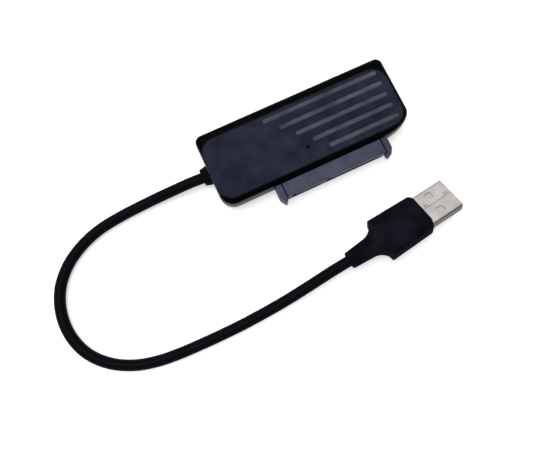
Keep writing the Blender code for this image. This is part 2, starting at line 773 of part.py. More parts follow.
def make_receptacle():
    """The moulding, with an L-shaped slot for each blade and a channel for each contact."""
    body = plate_mesh("sata_receptacle", [receptacle_outline()], SATA_BOTTOM, SATA_TOP)
    receptacle = add_part("sata_receptacle", body, connector_plastic())
    slots = []
    channels = []
    half = CONTACT_WIDTH / 2 + CONTACT_CLEARANCE
    for left, width, contacts in zip(
            slot_lefts(), SLOT_WIDTHS, (SIGNAL_CONTACTS, POWER_CONTACTS)):
        slots.append(plate_mesh(
            "slot", [slot_outline(left, width)], -(MATING_Y + SLOT_DEPTH),
            -(MATING_Y - CLEARANCE), ALONG_Y))
        for x in contact_places(contacts, left):
            channels.append(plate_mesh("channel", [channel_outline()], x - half, x + half, ALONG_X))
    edges = receptacle.modifiers.new("edges", "BEVEL")
    edges.width = ARM_EDGE
    edges.segments = 1
    combine(receptacle, add_cutter("slots", merged("slots", slots)), "DIFFERENCE")
    combine(receptacle, add_cutter("channels", merged("channels", channels)), "DIFFERENCE")


def contact_centreline():
    """Side view of a contact: tail on the board, beam in its tunnel, bend that bites into the slot."""
    tail = SEAT_HEIGHT + CONTACT_THICKNESS / 2
    bite = SLOT_TOP - CONTACT_BITE + CONTACT_THICKNESS / 2
    reach = SLOT_DEPTH - CHANNEL_FRONT_WALL
    rise = BOARD_FRONT_Y + TAIL_LENGTH / 2
    return [
        (BOARD_FRONT_Y + TAIL_LENGTH, tail),
        (rise, tail),
        (rise - CONTACT_THICKNESS * 2, BEAM_HEIGHT),
        (MATING_Y + CHANNEL_FRONT_WALL + 0.65 * reach, BEAM_HEIGHT),
        (MATING_Y + CHANNEL_FRONT_WALL + 0.32 * reach, bite),
        (MATING_Y + CHANNEL_FRONT_WALL + 0.24 * reach, bite),
        (MATING_Y + CHANNEL_FRONT_WALL + 0.10 * reach, bite + CONTACT_BITE),
    ]


def make_contacts():
    outline = strip_outline(contact_centreline(), CONTACT_THICKNESS)
    half = CONTACT_WIDTH / 2
    groups = zip(("signal", "power"), slot_lefts(), (SIGNAL_CONTACTS, POWER_CONTACTS))
    for kind, left, contacts in groups:
        strip = plate_mesh(f"{kind}_contact", [outline], -half, half, ALONG_X)
        for number, x in enumerate(contact_places(contacts, left), 1):
            name = f"{kind}_contact_{number}"
            contact = bpy.data.objects.new(name, strip)
            contact.location.x = x
            bpy.data.collections["usb_to_sata_adapter"].objects.link(contact)
        strip.materials.append(contact_metal())


# Circuit board and what it carries

def make_board():
    """The laminate, with a hole for each peg."""
    edge = rounded_rectangle(
        -BOARD_HALF_LENGTH, BOARD_HALF_LENGTH, BOARD_FRONT_Y, BOARD_BACK_Y,
        [BOARD_CORNER_RADIUS] * 4)
    holes = [circle(x, y, PEG_RADIUS + CLEARANCE) for x, y in post_places()]
    mesh = plate_mesh("circuit_board", [edge, *holes], BOARD_BOTTOM, BOARD_TOP)
    add_part("circuit_board", mesh, board_laminate())


def board_place(centre):
    """A place on the board's top, from its centre."""
    return Matrix.Translation((centre[0], BOARD_CENTRE_Y + centre[1], SEAT_HEIGHT))


def lead_mesh(name, start, height, width):
    """A gull-wing lead along X, from inside a body's side at a height down to the board."""
    foot = LEAD_THICKNESS / 2
    centreline = [
        (start - 2 * LEAD_THICKNESS, height),
        (start + 0.3 * LEAD_REACH, height),
        (start + 0.5 * LEAD_REACH, foot),
        (start + LEAD_REACH, foot),
    ]
    turn = Matrix(((1, 0, 0, 0), (0, 0, -1, 0), (0, 1, 0, 0), (0, 0, 0, 1)))
    return plate_mesh(name, [strip_outline(centreline, LEAD_THICKNESS)], -width / 2, width / 2, turn)


def lead_row(count, pitch, start, height, width, turn):
    """Leads side by side on one side of a body; turn is that side's angle from +X."""
    row = []
    for i in range(count):
        lead = lead_mesh("lead", start, height, width)
        lead.transform(Matrix.Translation((0, (i - (count - 1) / 2) * pitch, 0)))
        lead.transform(Matrix.Rotation(radians(turn), 4, "Z"))
        row.append(lead)
    return row


def packaged_part(name, size, leads, centre):
    """A bevelled block with its leads, standing on the board."""
    length, width, height = size
    lift = LEAD_THICKNESS
    body = box_mesh(name, (-length / 2, -width / 2, lift), (length / 2, width / 2, height))
    part = add_part(name, body, chip_epoxy())
    edges = part.modifiers.new("edges", "BEVEL")
    edges.width = height / 8
    edges.segments = 1
    tool = add_cutter(f"{name} leads", merged(f"{name} leads", leads))
    for placed in (part, tool):
        placed.matrix_world = board_place(centre)
    combine(part, tool, "UNION")


def make_bridge_chip():
    leads = []
    for turn in (0, 90, 180, 270):
        leads += lead_row(
            CHIP_LEADS_PER_SIDE, CHIP_LEAD_PITCH, CHIP_SIZE / 2, CHIP_HEIGHT / 2,
            CHIP_LEAD_WIDTH, turn)
    packaged_part("bridge_chip", (CHIP_SIZE, CHIP_SIZE, CHIP_HEIGHT), leads, CHIP_CENTRE)


def make_regulator():
    """Three leads towards the front and a wide tab towards the back."""
    width, height = REGULATOR_SIZE[1:]
    leads = lead_row(
        3, REGULATOR_LEAD_PITCH, width / 2, height / 2, REGULATOR_LEAD_WIDTH, 270)
    leads += lead_row(1, 0.0, width / 2, height / 2, REGULATOR_TAB_WIDTH, 90)
    packaged_part("voltage_regulator", REGULATOR_SIZE, leads, REGULATOR_CENTRE)


def make_crystal():
    """A lidded can on a slightly wider base."""
    length, width, height = CRYSTAL_SIZE
    step = CRYSTAL_LID_INSET
    rings = []
    for inset, z in ((0, 0), (0, height * 0.4), (step, height * 0.4), (step, height)):
        outline = rounded_rectangle(
            -length / 2 + inset, length / 2 - inset, -width / 2 + inset, width / 2 - inset,
            [CRYSTAL_CORNER_RADIUS] * 4, 3)
        rings.append([(x, y, z) for x, y in outline])
    crystal = add_part("crystal", loft_mesh("crystal", rings), solder_metal())
    crystal.matrix_world = board_place(CRYSTAL_CENTRE)


def chip_part(name, height, finish, centre):
    """A small block with a metal cap at each end."""
    half = CHIP_PART_LENGTH / 2
    inner = half - CHIP_PART_CAP
    step = 2 * CHIP_PART_CAP_STEP
    thick = (CHIP_PART_WIDTH, height)
    thin = (CHIP_PART_WIDTH - step, height - step)
    sections = (
        (-half, *thick), (-inner, *thick), (-inner, *thin),
        (inner, *thin), (inner, *thick), (half, *thick),
    )
    mesh = bar_mesh(name, sections, CHIP_PART_EDGE_RADIUS, 2)
    part = add_part(name, mesh, finish)
    part.matrix_world = board_place(centre) @ Matrix.Translation((0, 0, height / 2))


def make_small_parts():
    for number, centre in enumerate(CAPACITOR_CENTRES, 1):
        chip_part(
            f"capacitor_{number}", CAPACITOR_HEIGHT,
            material("tan ceramic", "9A7B55", 0.5), centre)
    end_resistor = (BOARD_HALF_LENGTH - END_RESISTOR_FROM_END, END_RESISTOR_Y)
    for number, centre in enumerate((*RESISTOR_CENTRES, end_resistor), 1):
        chip_part(f"resistor_{number}", RESISTOR_HEIGHT, chip_epoxy(), centre)
    length, width, height = LAMP_SIZE
    mesh = box_mesh("indicator_led", (-length / 2, -width / 2, 0), (length / 2, width / 2, height))
    lamp = add_part("indicator_led", mesh, material("clear epoxy", "D9E2E4", 0.2))
    lamp.location = (LIGHT_HOLE_X, LIGHT_HOLE_Y, SEAT_HEIGHT)


# Gland, wires and cord

def make_gland():
    """A moulded strain relief: flange inside the wall, neck through it, tapered nose outside."""
    inside = GLAND_FLANGE_X
    outside = LEFT_X - CLEARANCE
    neck = (GLAND_NECK_WIDTH, GLAND_NECK_DEPTH)
    flange = (GLAND_FLANGE_WIDTH, GLAND_FLANGE_DEPTH)
    nose = (GLAND_WIDTH, GLAND_DEPTH)
    sections = (
        (GLAND_END_X, GLAND_END_WIDTH, GLAND_END_DEPTH),
        (outside, *nose),
        (outside, *neck),
        (inside, *neck),
        (inside, *flange),
        (inside + GLAND_FLANGE_LENGTH, *flange),
    )
    mesh = bar_mesh("cable_gland", sections, GLAND_CORNER_RADIUS, 4)
    shade_round(mesh)
    gland = add_part("cable_gland", mesh, cord_rubber())
    gland.location = (0, GLAND_Y, GLAND_HEIGHT)


def make_wires():
    """Four insulated wires from the gland's flange to pads on the board."""
    start_x = GLAND_FLANGE_X + GLAND_FLANGE_LENGTH + CLEARANCE
    lying = SEAT_HEIGHT + WIRE_RADIUS
    raised = lying + WIRE_RADIUS
    colours = (("red", "B3231E"), ("white", "E6E4DE"), ("green", "2F7D3B"), ("black", "161616"))
    for i, (colour, hex_colour) in enumerate(colours):
        across = i - (len(colours) - 1) / 2
        start_y = GLAND_Y + across * WIRE_SPACING
        end_y = GLAND_Y + across * WIRE_PAD_SPACING
        points = (
            (start_x, start_y, raised),
            (start_x + 0.3 * WIRE_LENGTH_ON_BOARD, start_y, raised),
            (start_x + 0.8 * WIRE_LENGTH_ON_BOARD, end_y, lying),
            (start_x + 1.3 * WIRE_LENGTH_ON_BOARD, end_y, lying),
        )
        path = smooth_path(points, 2 * WIRE_RADIUS, lying)
        curve = tube_curve(f"wire_{colour}", path, WIRE_RADIUS, 1)
        add_part(f"wire_{colour}", curve, material(f"{colour} PVC", hex_colour, 0.5))


def plug_matrix():
    return (
        Matrix.Translation((PLUG_X, PLUG_Y, PLUG_HEIGHT))
        @ Matrix.Rotation(radians(PLUG_YAW), 4, "Z")
        @ Matrix.Rotation(radians(PLUG_ROLL), 4, "X"))


def make_cord():
    """The free cord, face to face with the gland's nose and the plug's neck."""
    start = (GLAND_END_X - CLEARANCE, GLAND_Y, GLAND_HEIGHT)
    end = plug_matrix() @ Vector((NECK_END_X - CLEARANCE, 0, 0))
    path = smooth_path((start, *CORD_ROUTE, end), CORD_POINT_SPACING * 2 * CORD_RADIUS, CORD_RADIUS)
    curve = tube_curve("cable", path, CORD_RADIUS)
    add_part("cable", curve, cord_rubber())


# USB plug

def seam_outline():
    """The folded shell's joint: a fine gap with two dovetail keys along it."""
    half = SEAM_WIDTH / 2
    flare = 0.25 * SEAM_KEY_LENGTH
    start = SHELL_LENGTH - SEAM_KEY_FROM_TIP
    path = [(-SHELL_IN_GRIP - CLEARANCE, 0.0)]
    for key in (1, 0):
        near = start - key * SEAM_KEY_SPACING - SEAM_KEY_LENGTH
        far = near + SEAM_KEY_LENGTH
        path += [
            (near + flare, 0.0), (near, SEAM_KEY_WIDTH),
            (far, SEAM_KEY_WIDTH), (far - flare, 0.0),
        ]
    path.append((SHELL_LENGTH + CLEARANCE, 0.0))
    return strip_outline(path, 2 * half)


def shell_cuts():
    """Cutters for the latch windows on both faces and for the seam on the upper one."""
    window_x = SHELL_LENGTH - WINDOW_FROM_TIP
    cuts = []
    for side in (-1, 1):
        centre = side * WINDOW_SPACING / 2
        outline = rounded_rectangle(
            window_x - WINDOW_LENGTH / 2, window_x + WINDOW_LENGTH / 2,
            centre - WINDOW_WIDTH / 2, centre + WINDOW_WIDTH / 2, [WINDOW_CORNER_RADIUS] * 4, 3)
        cuts.append(plate_mesh("window", [outline], -SHELL_DEPTH, SHELL_DEPTH))
    cuts.append(plate_mesh("seam", [seam_outline()], 0.0, SHELL_DEPTH))
    return merged("shell cuts", cuts)


def make_plug_shell(frame):
    """A folded sheet tube, open at both ends."""
    rings = []
    for x in (-SHELL_IN_GRIP, SHELL_LENGTH):
        outline = rounded_rectangle(
            -SHELL_WIDTH / 2, SHELL_WIDTH / 2, -SHELL_DEPTH / 2, SHELL_DEPTH / 2,
            [SHELL_CORNER_RADIUS] * 4, 4)
        rings.append([(x, y, z) for y, z in outline])
    surface = loft_mesh("plug_shell", rings, cap_start=False, cap_end=False)
    shade_round(surface)
    shell = add_part("plug_shell", surface, solder_metal(), frame)
    sheet = shell.modifiers.new("sheet", "SOLIDIFY")
    sheet.thickness = SHELL_WALL
    sheet.offset = -1.0
    sheet.use_even_offset = True
    combine(shell, add_cutter("shell cuts", shell_cuts(), frame), "DIFFERENCE")


def make_tongue(frame):
    """The white insulator along the shell's upper half, and its four contacts."""
    half_width = SHELL_WIDTH / 2 - SHELL_WALL - TONGUE_CLEARANCE
    top = SHELL_DEPTH / 2 - SHELL_WALL - TONGUE_CLEARANCE
    bottom = top - TONGUE_DEPTH
    end = SHELL_LENGTH - TONGUE_SET_BACK
    block = box_mesh(
        "plug_insulator", (-SHELL_IN_GRIP, -half_width, bottom), (end, half_width, top))
    insulator = add_part("plug_insulator", block, material("white PBT", "E4E2DC", 0.5), frame)
    edges = insulator.modifiers.new("edges", "BEVEL")
    edges.width = TONGUE_CLEARANCE
    edges.segments = 2
    grooves = []
    sink = PLUG_CONTACT_THICKNESS / 2
    for number, y in enumerate(PLUG_CONTACT_OFFSETS, 1):
        outer = number in (1, len(PLUG_CONTACT_OFFSETS))
        tip = SHELL_LENGTH - (OUTER_CONTACT_SET_BACK if outer else INNER_CONTACT_SET_BACK)
        half = PLUG_CONTACT_WIDTH / 2
        grooves.append(box_mesh(
            "contact groove",
            (-SHELL_IN_GRIP - CLEARANCE, y - half - CONTACT_CLEARANCE, bottom - CLEARANCE),
            (tip + CONTACT_CLEARANCE, y + half + CONTACT_CLEARANCE, bottom + sink + CONTACT_CLEARANCE)))
        strip = box_mesh(
            f"plug_contact_{number}",
            (-SHELL_IN_GRIP, y - half, bottom - sink), (tip, y + half, bottom + sink))
        add_part(f"plug_contact_{number}", strip, contact_metal(), frame)
    tool = add_cutter("contact grooves", merged("contact grooves", grooves), frame)
    combine(insulator, tool, "DIFFERENCE")


def grip_sections():
    """Widths and depths of the overmould along X, from the neck's end to its front face."""
    sections = [(NECK_END_X, NECK_END_DIAMETER, NECK_END_DIAMETER)]
    neck_x = -(GRIP_LENGTH + SHOULDER_LENGTH)
    for step in range(GRIP_SHOULDER_STEPS + 1):
        angle = radians(90 * step / GRIP_SHOULDER_STEPS)
        along = sin(angle)
        out = 1 - cos(angle)
        width = NECK_DIAMETER + (GRIP_WIDTH - NECK_DIAMETER) * out
        depth = NECK_DIAMETER + (GRIP_DEPTH - NECK_DIAMETER) * out
        sections.append((neck_x + SHOULDER_LENGTH * along, width, depth))
    for step in range(GRIP_CHAMFER_STEPS + 1):
        angle = radians(90 * step / GRIP_CHAMFER_STEPS)
        less = 2 * GRIP_FRONT_CHAMFER * (1 - cos(angle))
        x = -GRIP_FRONT_CHAMFER_LENGTH * (1 - sin(angle))
        sections.append((x, GRIP_FRONT_WIDTH - less, GRIP_DEPTH - less))
    return sections


def make_grip(frame):
    """The overmould: flat-sided body with a crowned front, hollow shoulders and a tapered neck."""
    rings = []
    for x, width, depth in grip_sections():
        bodily = min(1.0, max(0.0, (x - NECK_END_X - NECK_LENGTH) / SHOULDER_LENGTH))
        round_corner = min(width, depth) / 2.001
        corner = round_corner + (GRIP_CORNER_RADIUS - round_corner) * bodily ** 2
        outline = rounded_rectangle(
            -width / 2, width / 2, -depth / 2, depth / 2, [min(corner, round_corner)] * 4, 5)
        crown = GRIP_CROWN * max(0.0, 1 + x / GRIP_FRONT_CHAMFER_LENGTH / 2)
        rings.append([(x + crown * (1 - (2 * y / width) ** 2), y, z) for y, z in outline])
    solid = loft_mesh("plug_grip", rings)
    shade_round(solid)
    grip = add_part("plug_grip", solid, cord_rubber(), frame)
    pocket = bar_mesh(
        "shell pocket",
        [(x, SHELL_WIDTH + 2 * CLEARANCE, SHELL_DEPTH + 2 * CLEARANCE)
         for x in (-SHELL_IN_GRIP - CLEARANCE, 2 * GRIP_CROWN + CLEARANCE)],
        SHELL_CORNER_RADIUS + CLEARANCE, 4)
    combine(grip, add_cutter("shell pocket", pocket, frame), "DIFFERENCE")


def make_plug():
    frame = bpy.data.objects.new("plug frame", None)
    bpy.data.collections["usb_to_sata_adapter"].objects.link(frame)
    frame.matrix_world = plug_matrix()
    make_plug_shell(frame)
    make_tongue(frame)
    make_grip(frame)


def main():
    clear_scene()
    new_collection("usb_to_sata_adapter")
    new_collection("cutters")
    openings = [
        add_cutter("connector opening", connector_opening()),
        add_cutter("gland opening", gland_opening()),
    ]
    make_top_cover(openings)
    make_bottom_cover(openings)
    make_receptacle()
    make_contacts()
    make_board()
    make_bridge_chip()
    make_regulator()
    make_crystal()
    make_small_parts()
    make_gland()
    make_wires()
    make_cord()
    make_plug()
    bpy.context.view_layer.update()


main()
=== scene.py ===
"""USB to SATA adapter: the finish of every surface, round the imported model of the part.

The origin is the centre of the housing's bottom face, +X runs along the housing away from the
cord, the drive receptacle faces -Y and +Z is up. Lengths are in metres.
"""

from math import cos, radians, sin

import bmesh
import bpy
from bpy.props import FloatProperty, FloatVectorProperty, IntProperty, PointerProperty
from bpy.types import Operator, Panel, PropertyGroup
from mathutils import Matrix, Vector


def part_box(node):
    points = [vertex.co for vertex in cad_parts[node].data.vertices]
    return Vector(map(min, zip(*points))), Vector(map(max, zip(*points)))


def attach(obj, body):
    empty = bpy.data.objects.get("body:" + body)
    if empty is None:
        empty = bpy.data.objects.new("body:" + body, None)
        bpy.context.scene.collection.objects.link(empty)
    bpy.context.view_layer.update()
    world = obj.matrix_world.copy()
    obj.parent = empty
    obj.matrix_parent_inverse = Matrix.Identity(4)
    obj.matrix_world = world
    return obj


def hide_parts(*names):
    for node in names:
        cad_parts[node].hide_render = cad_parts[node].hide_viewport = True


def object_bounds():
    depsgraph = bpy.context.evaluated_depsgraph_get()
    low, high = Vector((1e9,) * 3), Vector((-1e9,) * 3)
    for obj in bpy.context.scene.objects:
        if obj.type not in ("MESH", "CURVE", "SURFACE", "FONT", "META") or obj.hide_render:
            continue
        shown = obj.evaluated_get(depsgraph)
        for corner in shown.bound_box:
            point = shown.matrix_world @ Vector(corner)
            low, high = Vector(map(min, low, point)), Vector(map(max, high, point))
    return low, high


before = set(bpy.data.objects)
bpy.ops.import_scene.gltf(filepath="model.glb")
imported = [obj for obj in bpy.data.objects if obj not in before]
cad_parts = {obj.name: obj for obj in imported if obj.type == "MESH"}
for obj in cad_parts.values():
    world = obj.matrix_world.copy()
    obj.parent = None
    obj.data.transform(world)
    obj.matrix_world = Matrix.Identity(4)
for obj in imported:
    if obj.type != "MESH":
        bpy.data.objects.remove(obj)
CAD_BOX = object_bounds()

bl_info = {
    "name": "USB to SATA adapter",
    "version": (1, 0, 0),
    "blender": (4, 5, 0),
    "location": "3D View > Sidebar > Adapter",
    "description": "Dresses the adapter's housing, receptacle, cord and plug, and lights it",
    "category": "Object",
}

MM = 0.001

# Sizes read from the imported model
COVER_LOW, COVER_HIGH = (Vector(corner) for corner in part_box("top_cover"))
RECEPTACLE_LOW, RECEPTACLE_HIGH = (Vector(corner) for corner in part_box("sata_receptacle"))
BOARD_LOW, BOARD_HIGH = (Vector(corner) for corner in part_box("circuit_board"))
GLAND_LOW, GLAND_HIGH = (Vector(corner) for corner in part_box("cable_gland"))

# Fits, steps and limits that the pieces share; angles are in degrees
CLEARANCE = 0.3 * MM
SEAT = 0.02 * MM
MERGE = 0.001 * MM
WELD = 0.004 * MM
SMALLEST_RADIUS = 0.2 * MM
TEXTURE_FADE = 0.35 * MM
OPENING_LEFT = RECEPTACLE_LOW.x - CLEARANCE
CORNER_STEPS = 14
SHOULDER_STEPS = 12
ROUTE_STEPS = 20
ROUND_SIDES = 48
GROOVE_END_SIDES = 24
EDGE_SEGMENTS = 2
FACE_WEIGHT = 80
RIGHT_ANGLE = 90
FLAT_ANGLE = 0.3
COVER_ANGLE = 40
ROUND_ANGLE = 50
SHEET_ANGLE = 35
CONNECTOR_ANGLE = 25
OVER_TWO = 2.001
SIDE_FACING = 0.8
UP_FACING = 0.999

# Where noise turns from one tone to the other, and how far gloss strays from its mean
PATCH_LOW, PATCH_HIGH = 0.35, 0.65
SMOOTHER, ROUGHER = 0.05, 0.07

# The stage
FILM_WIDTH = 36.0
FLOOR_THICKNESS = 10 * MM
FLOOR_DROP = 0.05 * MM
SKY_LOW, SKY_HIGH = 0.1, 0.9
KEY_AWAY = (-0.1, 0.15)
BACK_AWAY = (0.3, 0.55, 0.6)
FILL_AWAY = (-0.45, -0.45, 0.35)

# The cord's route in millimetres between the gland and the plug's neck
CORD_ROUTE = (
    (-42.1, 0.65, 4.35), (-46.1, 0.8, 4.0), (-53.7, 1.1, 2.8), (-62.0, 1.1, 2.0),
    (-70.1, 0.6, 1.9), (-78.1, -0.6, 1.9), (-85.6, -3.3, 1.9), (-92.3, -7.7, 1.9),
    (-97.3, -13.9, 1.9), (-99.8, -21.5, 1.9), (-99.7, -29.5, 1.9), (-96.9, -37.0, 1.9),
    (-91.6, -43.0, 1.9), (-84.7, -47.1, 1.9), (-77.1, -49.3, 1.9), (-69.4, -50.2, 1.9),
    (-61.7, -50.5, 1.9), (-53.9, -50.6, 1.9), (-46.0, -50.5, 1.9), (-38.1, -50.1, 1.95),
    (-30.2, -49.5, 2.3), (-22.2, -48.6, 3.4), (-14.3, -47.6, 4.8), (-9.8, -47.1, 5.4),
)


# Properties

def size(name, description, default):
    """A length that a user may change."""
    return FloatProperty(
        name=name, description=description, default=default, min=0.0, unit="LENGTH", precision=5)


def amount(name, description, default, unit):
    """A power, a brightness or a focal length that a user may change."""
    return FloatProperty(name=name, description=description, default=default, min=0.0, unit=unit)


def turn(name, description, degrees):
    """An angle that a user may change."""
    return FloatProperty(
        name=name, description=description, default=radians(degrees), unit="ROTATION")


def linear(hex_colour):
    """An sRGB hex colour as linear RGBA."""
    channels = [int(hex_colour[i:i + 2], 16) / 255 for i in (0, 2, 4)]
    levels = [c / 12.92 if c <= 0.04045 else ((c + 0.055) / 1.055) ** 2.4 for c in channels]
    return (*levels, 1.0)


def colour(name, description, hex_colour):
    """A colour that a user may change."""
    return FloatVectorProperty(
        name=name, description=description, default=linear(hex_colour), size=4, subtype="COLOR",
        min=0.0, max=1.0)


class HousingSizes(PropertyGroup):
    """Sizes of the two covers."""

    wall: size("Wall", "Thickness of both covers", 1.4 * MM)
    seam_height: size("Seam height", "Height of the bottom cover's rim", 4.6 * MM)
    shoulder_radius: size("Shoulder", "Rounding between the top face and the sides", 2.4 * MM)
    back_corner: size("Back corners", "Corner radius at the back", 2.6 * MM)
    front_left_corner: size("Front left corner", "Corner radius beside the cord", 5.0 * MM)
    sweep_length: size("Front sweep", "How far the right corner runs along the front", 12.0 * MM)
    sweep_width: size("End sweep", "How far the right corner runs along the end", 6.5 * MM)
    lip_height: size("Lip height", "How far the bottom cover's lip stands up", 1.1 * MM)
    lip_inset: size("Lip inset", "From the outline to the lip's outer face", 0.8 * MM)
    # These margins and the satin drop place the painted dark reflection round the textured plan:
    # widest at the back, next to nothing at the left end.
    texture_left: size("Texture, left", "From the left end to the textured area", 0.3 * MM)
    texture_right: size("Texture, right", "From the right end to the textured area", 1.7 * MM)
    texture_front: size("Texture, front", "From the front to the textured area", 2.1 * MM)
    texture_back: size("Texture, back", "From the back to the textured area", 3.4 * MM)
    satin_drop: size("Satin drop", "From the top face down to the satin sides", 1.3 * MM)
    texture_corner: size("Texture corner", "Corner radius of the textured area", 5.5 * MM)
    edge: size("Edge rounding", "Rounding that the mould leaves on outer edges", 0.12 * MM)
    groove_count: IntProperty(
        name="Grooves", description="Long grooves in the top face", default=5, min=1)
    groove_pitch: size("Groove pitch", "From one groove to the next", 4.28 * MM)
    groove_width: size("Groove width", "Width of one groove", 1.7 * MM)
    groove_depth: size("Groove depth", "Depth of one groove", 0.3 * MM)
    groove_margin: size("Groove margin", "From the grooves' right ends to the end wall", 4.1 * MM)
    groove_length: size("Longest groove", "Length of the groove nearest the back", 43.7 * MM)
    groove_from_back: size("First groove", "From the back wall to the first groove", 5.25 * MM)
    light_hole: size("Light hole", "Diameter of the hole over the lamp", 1.0 * MM)
    post_radius: size("Post", "Radius of a clamping post", 1.6 * MM)
    peg_radius: size("Peg", "Radius of the peg under a post", 0.8 * MM)
    post_from_end: size("Post from end", "From the board's end to a post's centre", 5.0 * MM)
    post_from_side: size("Post from side", "From the board's side to a post's centre", 3.2 * MM)
    connector_edge: size("Receptacle edge", "Rounding of the receptacle's edges", 0.06 * MM)


class CordSizes(PropertyGroup):
    """Sizes of the cord and of the gland that it leaves by."""

    diameter: size("Cord diameter", "Outer diameter of the cord", 3.8 * MM)
    length: size("Cord length", "From the gland to the plug's neck", 184 * MM)
    sides: IntProperty(name="Cord sides", description="Sides of the tube", default=28, min=8)
    step: size("Cord step", "Length of one stretch of the tube", 1.0 * MM)
    gland_width: size("Gland width", "Width of the nose at the housing", 6.2 * MM)
    gland_depth: size("Gland depth", "Depth of the nose at the housing", 5.8 * MM)
    gland_end_width: size("Gland end width", "Width of the nose at the cord", 5.2 * MM)
    gland_end_depth: size("Gland end depth", "Depth of the nose at the cord", 5.0 * MM)
    gland_neck_width: size("Gland neck width", "Width where it passes the wall", 4.8 * MM)
    gland_neck_depth: size("Gland neck depth", "Depth where it passes the wall", 4.4 * MM)
    gland_flange: size("Gland flange", "Length of the flange inside the wall", 1.0 * MM)
    gland_flange_width: size("Flange width", "Width of the flange inside the wall", 6.6 * MM)
    gland_flange_depth: size("Flange depth", "Depth of the flange inside the wall", 5.2 * MM)
    bite: size("Bite", "How deep each end of the cord sits in its moulding", 0.6 * MM)
    gland_corner: size("Gland corner", "Corner radius of the gland's section", 1.3 * MM)
    gland_edge: size("Gland edge", "Rounding of the gland's edges", 0.3 * MM)


class PlugSizes(PropertyGroup):
    """Place and sizes of the plug's overmoulded grip."""

    place: FloatVectorProperty(
        name="Place", description="Where the shell leaves the grip", size=3, unit="LENGTH",
        default=(23.6 * MM, -42.8 * MM, 5.6615 * MM), precision=5)
    yaw: turn("Yaw", "Turn of the plug about the vertical", 7.6)
    roll: turn("Roll", "Turn of the plug about its own axis", -20.0)
    shell_width: size("Shell width", "Width of the metal shell", 12.0 * MM)
    shell_depth: size("Shell depth", "Depth of the metal shell", 4.5 * MM)
    shell_in_grip: size("Shell in grip", "Length of shell that the grip holds", 4.0 * MM)
    shell_corner: size("Shell corner", "Corner radius of the shell", 0.7 * MM)
    grip_length: size("Grip length", "From the shell to the shoulders", 17.0 * MM)
    grip_width: size("Grip width", "Width at the shoulders", 15.3 * MM)
    grip_front_width: size("Grip front width", "Width at the shell", 14.3 * MM)
    grip_depth: size("Grip depth", "Depth of the body", 7.8 * MM)
    grip_corner: size("Grip corner", "Corner radius of the body's section", 2.2 * MM)
    front_chamfer: size("Front rounding", "Inset of the rounding round the shell", 0.45 * MM)
    front_chamfer_length: size("Front rounding length", "Length of that rounding", 1.0 * MM)
    crown: size("Crown", "How far the front bows out", 1.2 * MM)
    crown_share: FloatProperty(
        name="Crown share", description="Share of the grip that bows with its front",
        default=0.25, min=0.01, subtype="FACTOR")
    front_set_back: size("Front set back", "From the shell's root to the front's corners", 0.5 * MM)
    shoulder_length: size("Shoulder length", "Length of the hollow shoulders", 5.5 * MM)
    neck_length: size("Neck length", "Length of the neck", 7.1 * MM)
    neck_diameter: size("Neck diameter", "Diameter at the shoulders", 7.0 * MM)
    neck_end_diameter: size("Neck end diameter", "Diameter at the cord", 6.0 * MM)
    neck_bead: size("Neck bead", "Rounding of the neck's end", 0.25 * MM)
    grip_edge: size("Grip edge", "Rounding of the grip's edges", 0.12 * MM)
    shell_edge: size("Shell edge", "Rounding of the shell's cut edges", 0.04 * MM)


class FinishColours(PropertyGroup):
    """Colours of the finishes."""

    top: colour("Top face", "Spark-textured ABS of the flat top", "212431")
    top_light: colour("Top face, light", "Lighter flow of the same plastic", "2E3141")
    groove: colour("Groove floor", "Coarser texture in the grooves", "555967")
    # Painted dark reflection: the polished shoulders are painted near black, as the dark room that
    # they mirror.
    shoulder: colour("Shoulder", "Polished ABS of shoulders and walls, painted near black as a dark reflection", "020203")
    tray: colour("Bottom cover", "Satin ABS of the bottom cover", "434642")
    receptacle: colour("Receptacle", "Blue-grey PBT", "3B4050")
    receptacle_light: colour("Receptacle, light", "Lighter flow of the PBT", "4C5063")
    jacket: colour("Cord", "PVC jacket", "04050A")
    overmould: colour("Overmould", "PVC of gland and grip", "0B0B11")
    steel: colour("Shell", "Nickel-plated steel", "A09A9A")
    steel_grey: colour("Shell, grey", "Greyer stretches of the plating", "8D8D89")
    # Painted dark reflection: the shell's folded sides get a dark plating colour that stands in for
    # a mirrored dark room.
    steel_painted_dark_side: colour("Shell sides", "Plating of the folded sides, painted dark as a mirrored dark room", "403D33")
    gold: colour("Contacts", "Gold plating", "D6A94E")
    laminate: colour("Board", "Solder mask over laminate", "155234")
    trace: colour("Traces", "Solder mask over copper", "2A7448")
    epoxy: colour("Chips", "Moulding epoxy", "1B1C1E")
    ceramic: colour("Capacitors", "Fired ceramic", "A08359")
    lens: colour("Lamp", "Clear epoxy", "E3EBEE")
    tongue: colour("Insulator", "White PBT", "C9C3BF")
    floor: colour("Floor", "Matt white board", "F6F6F6")


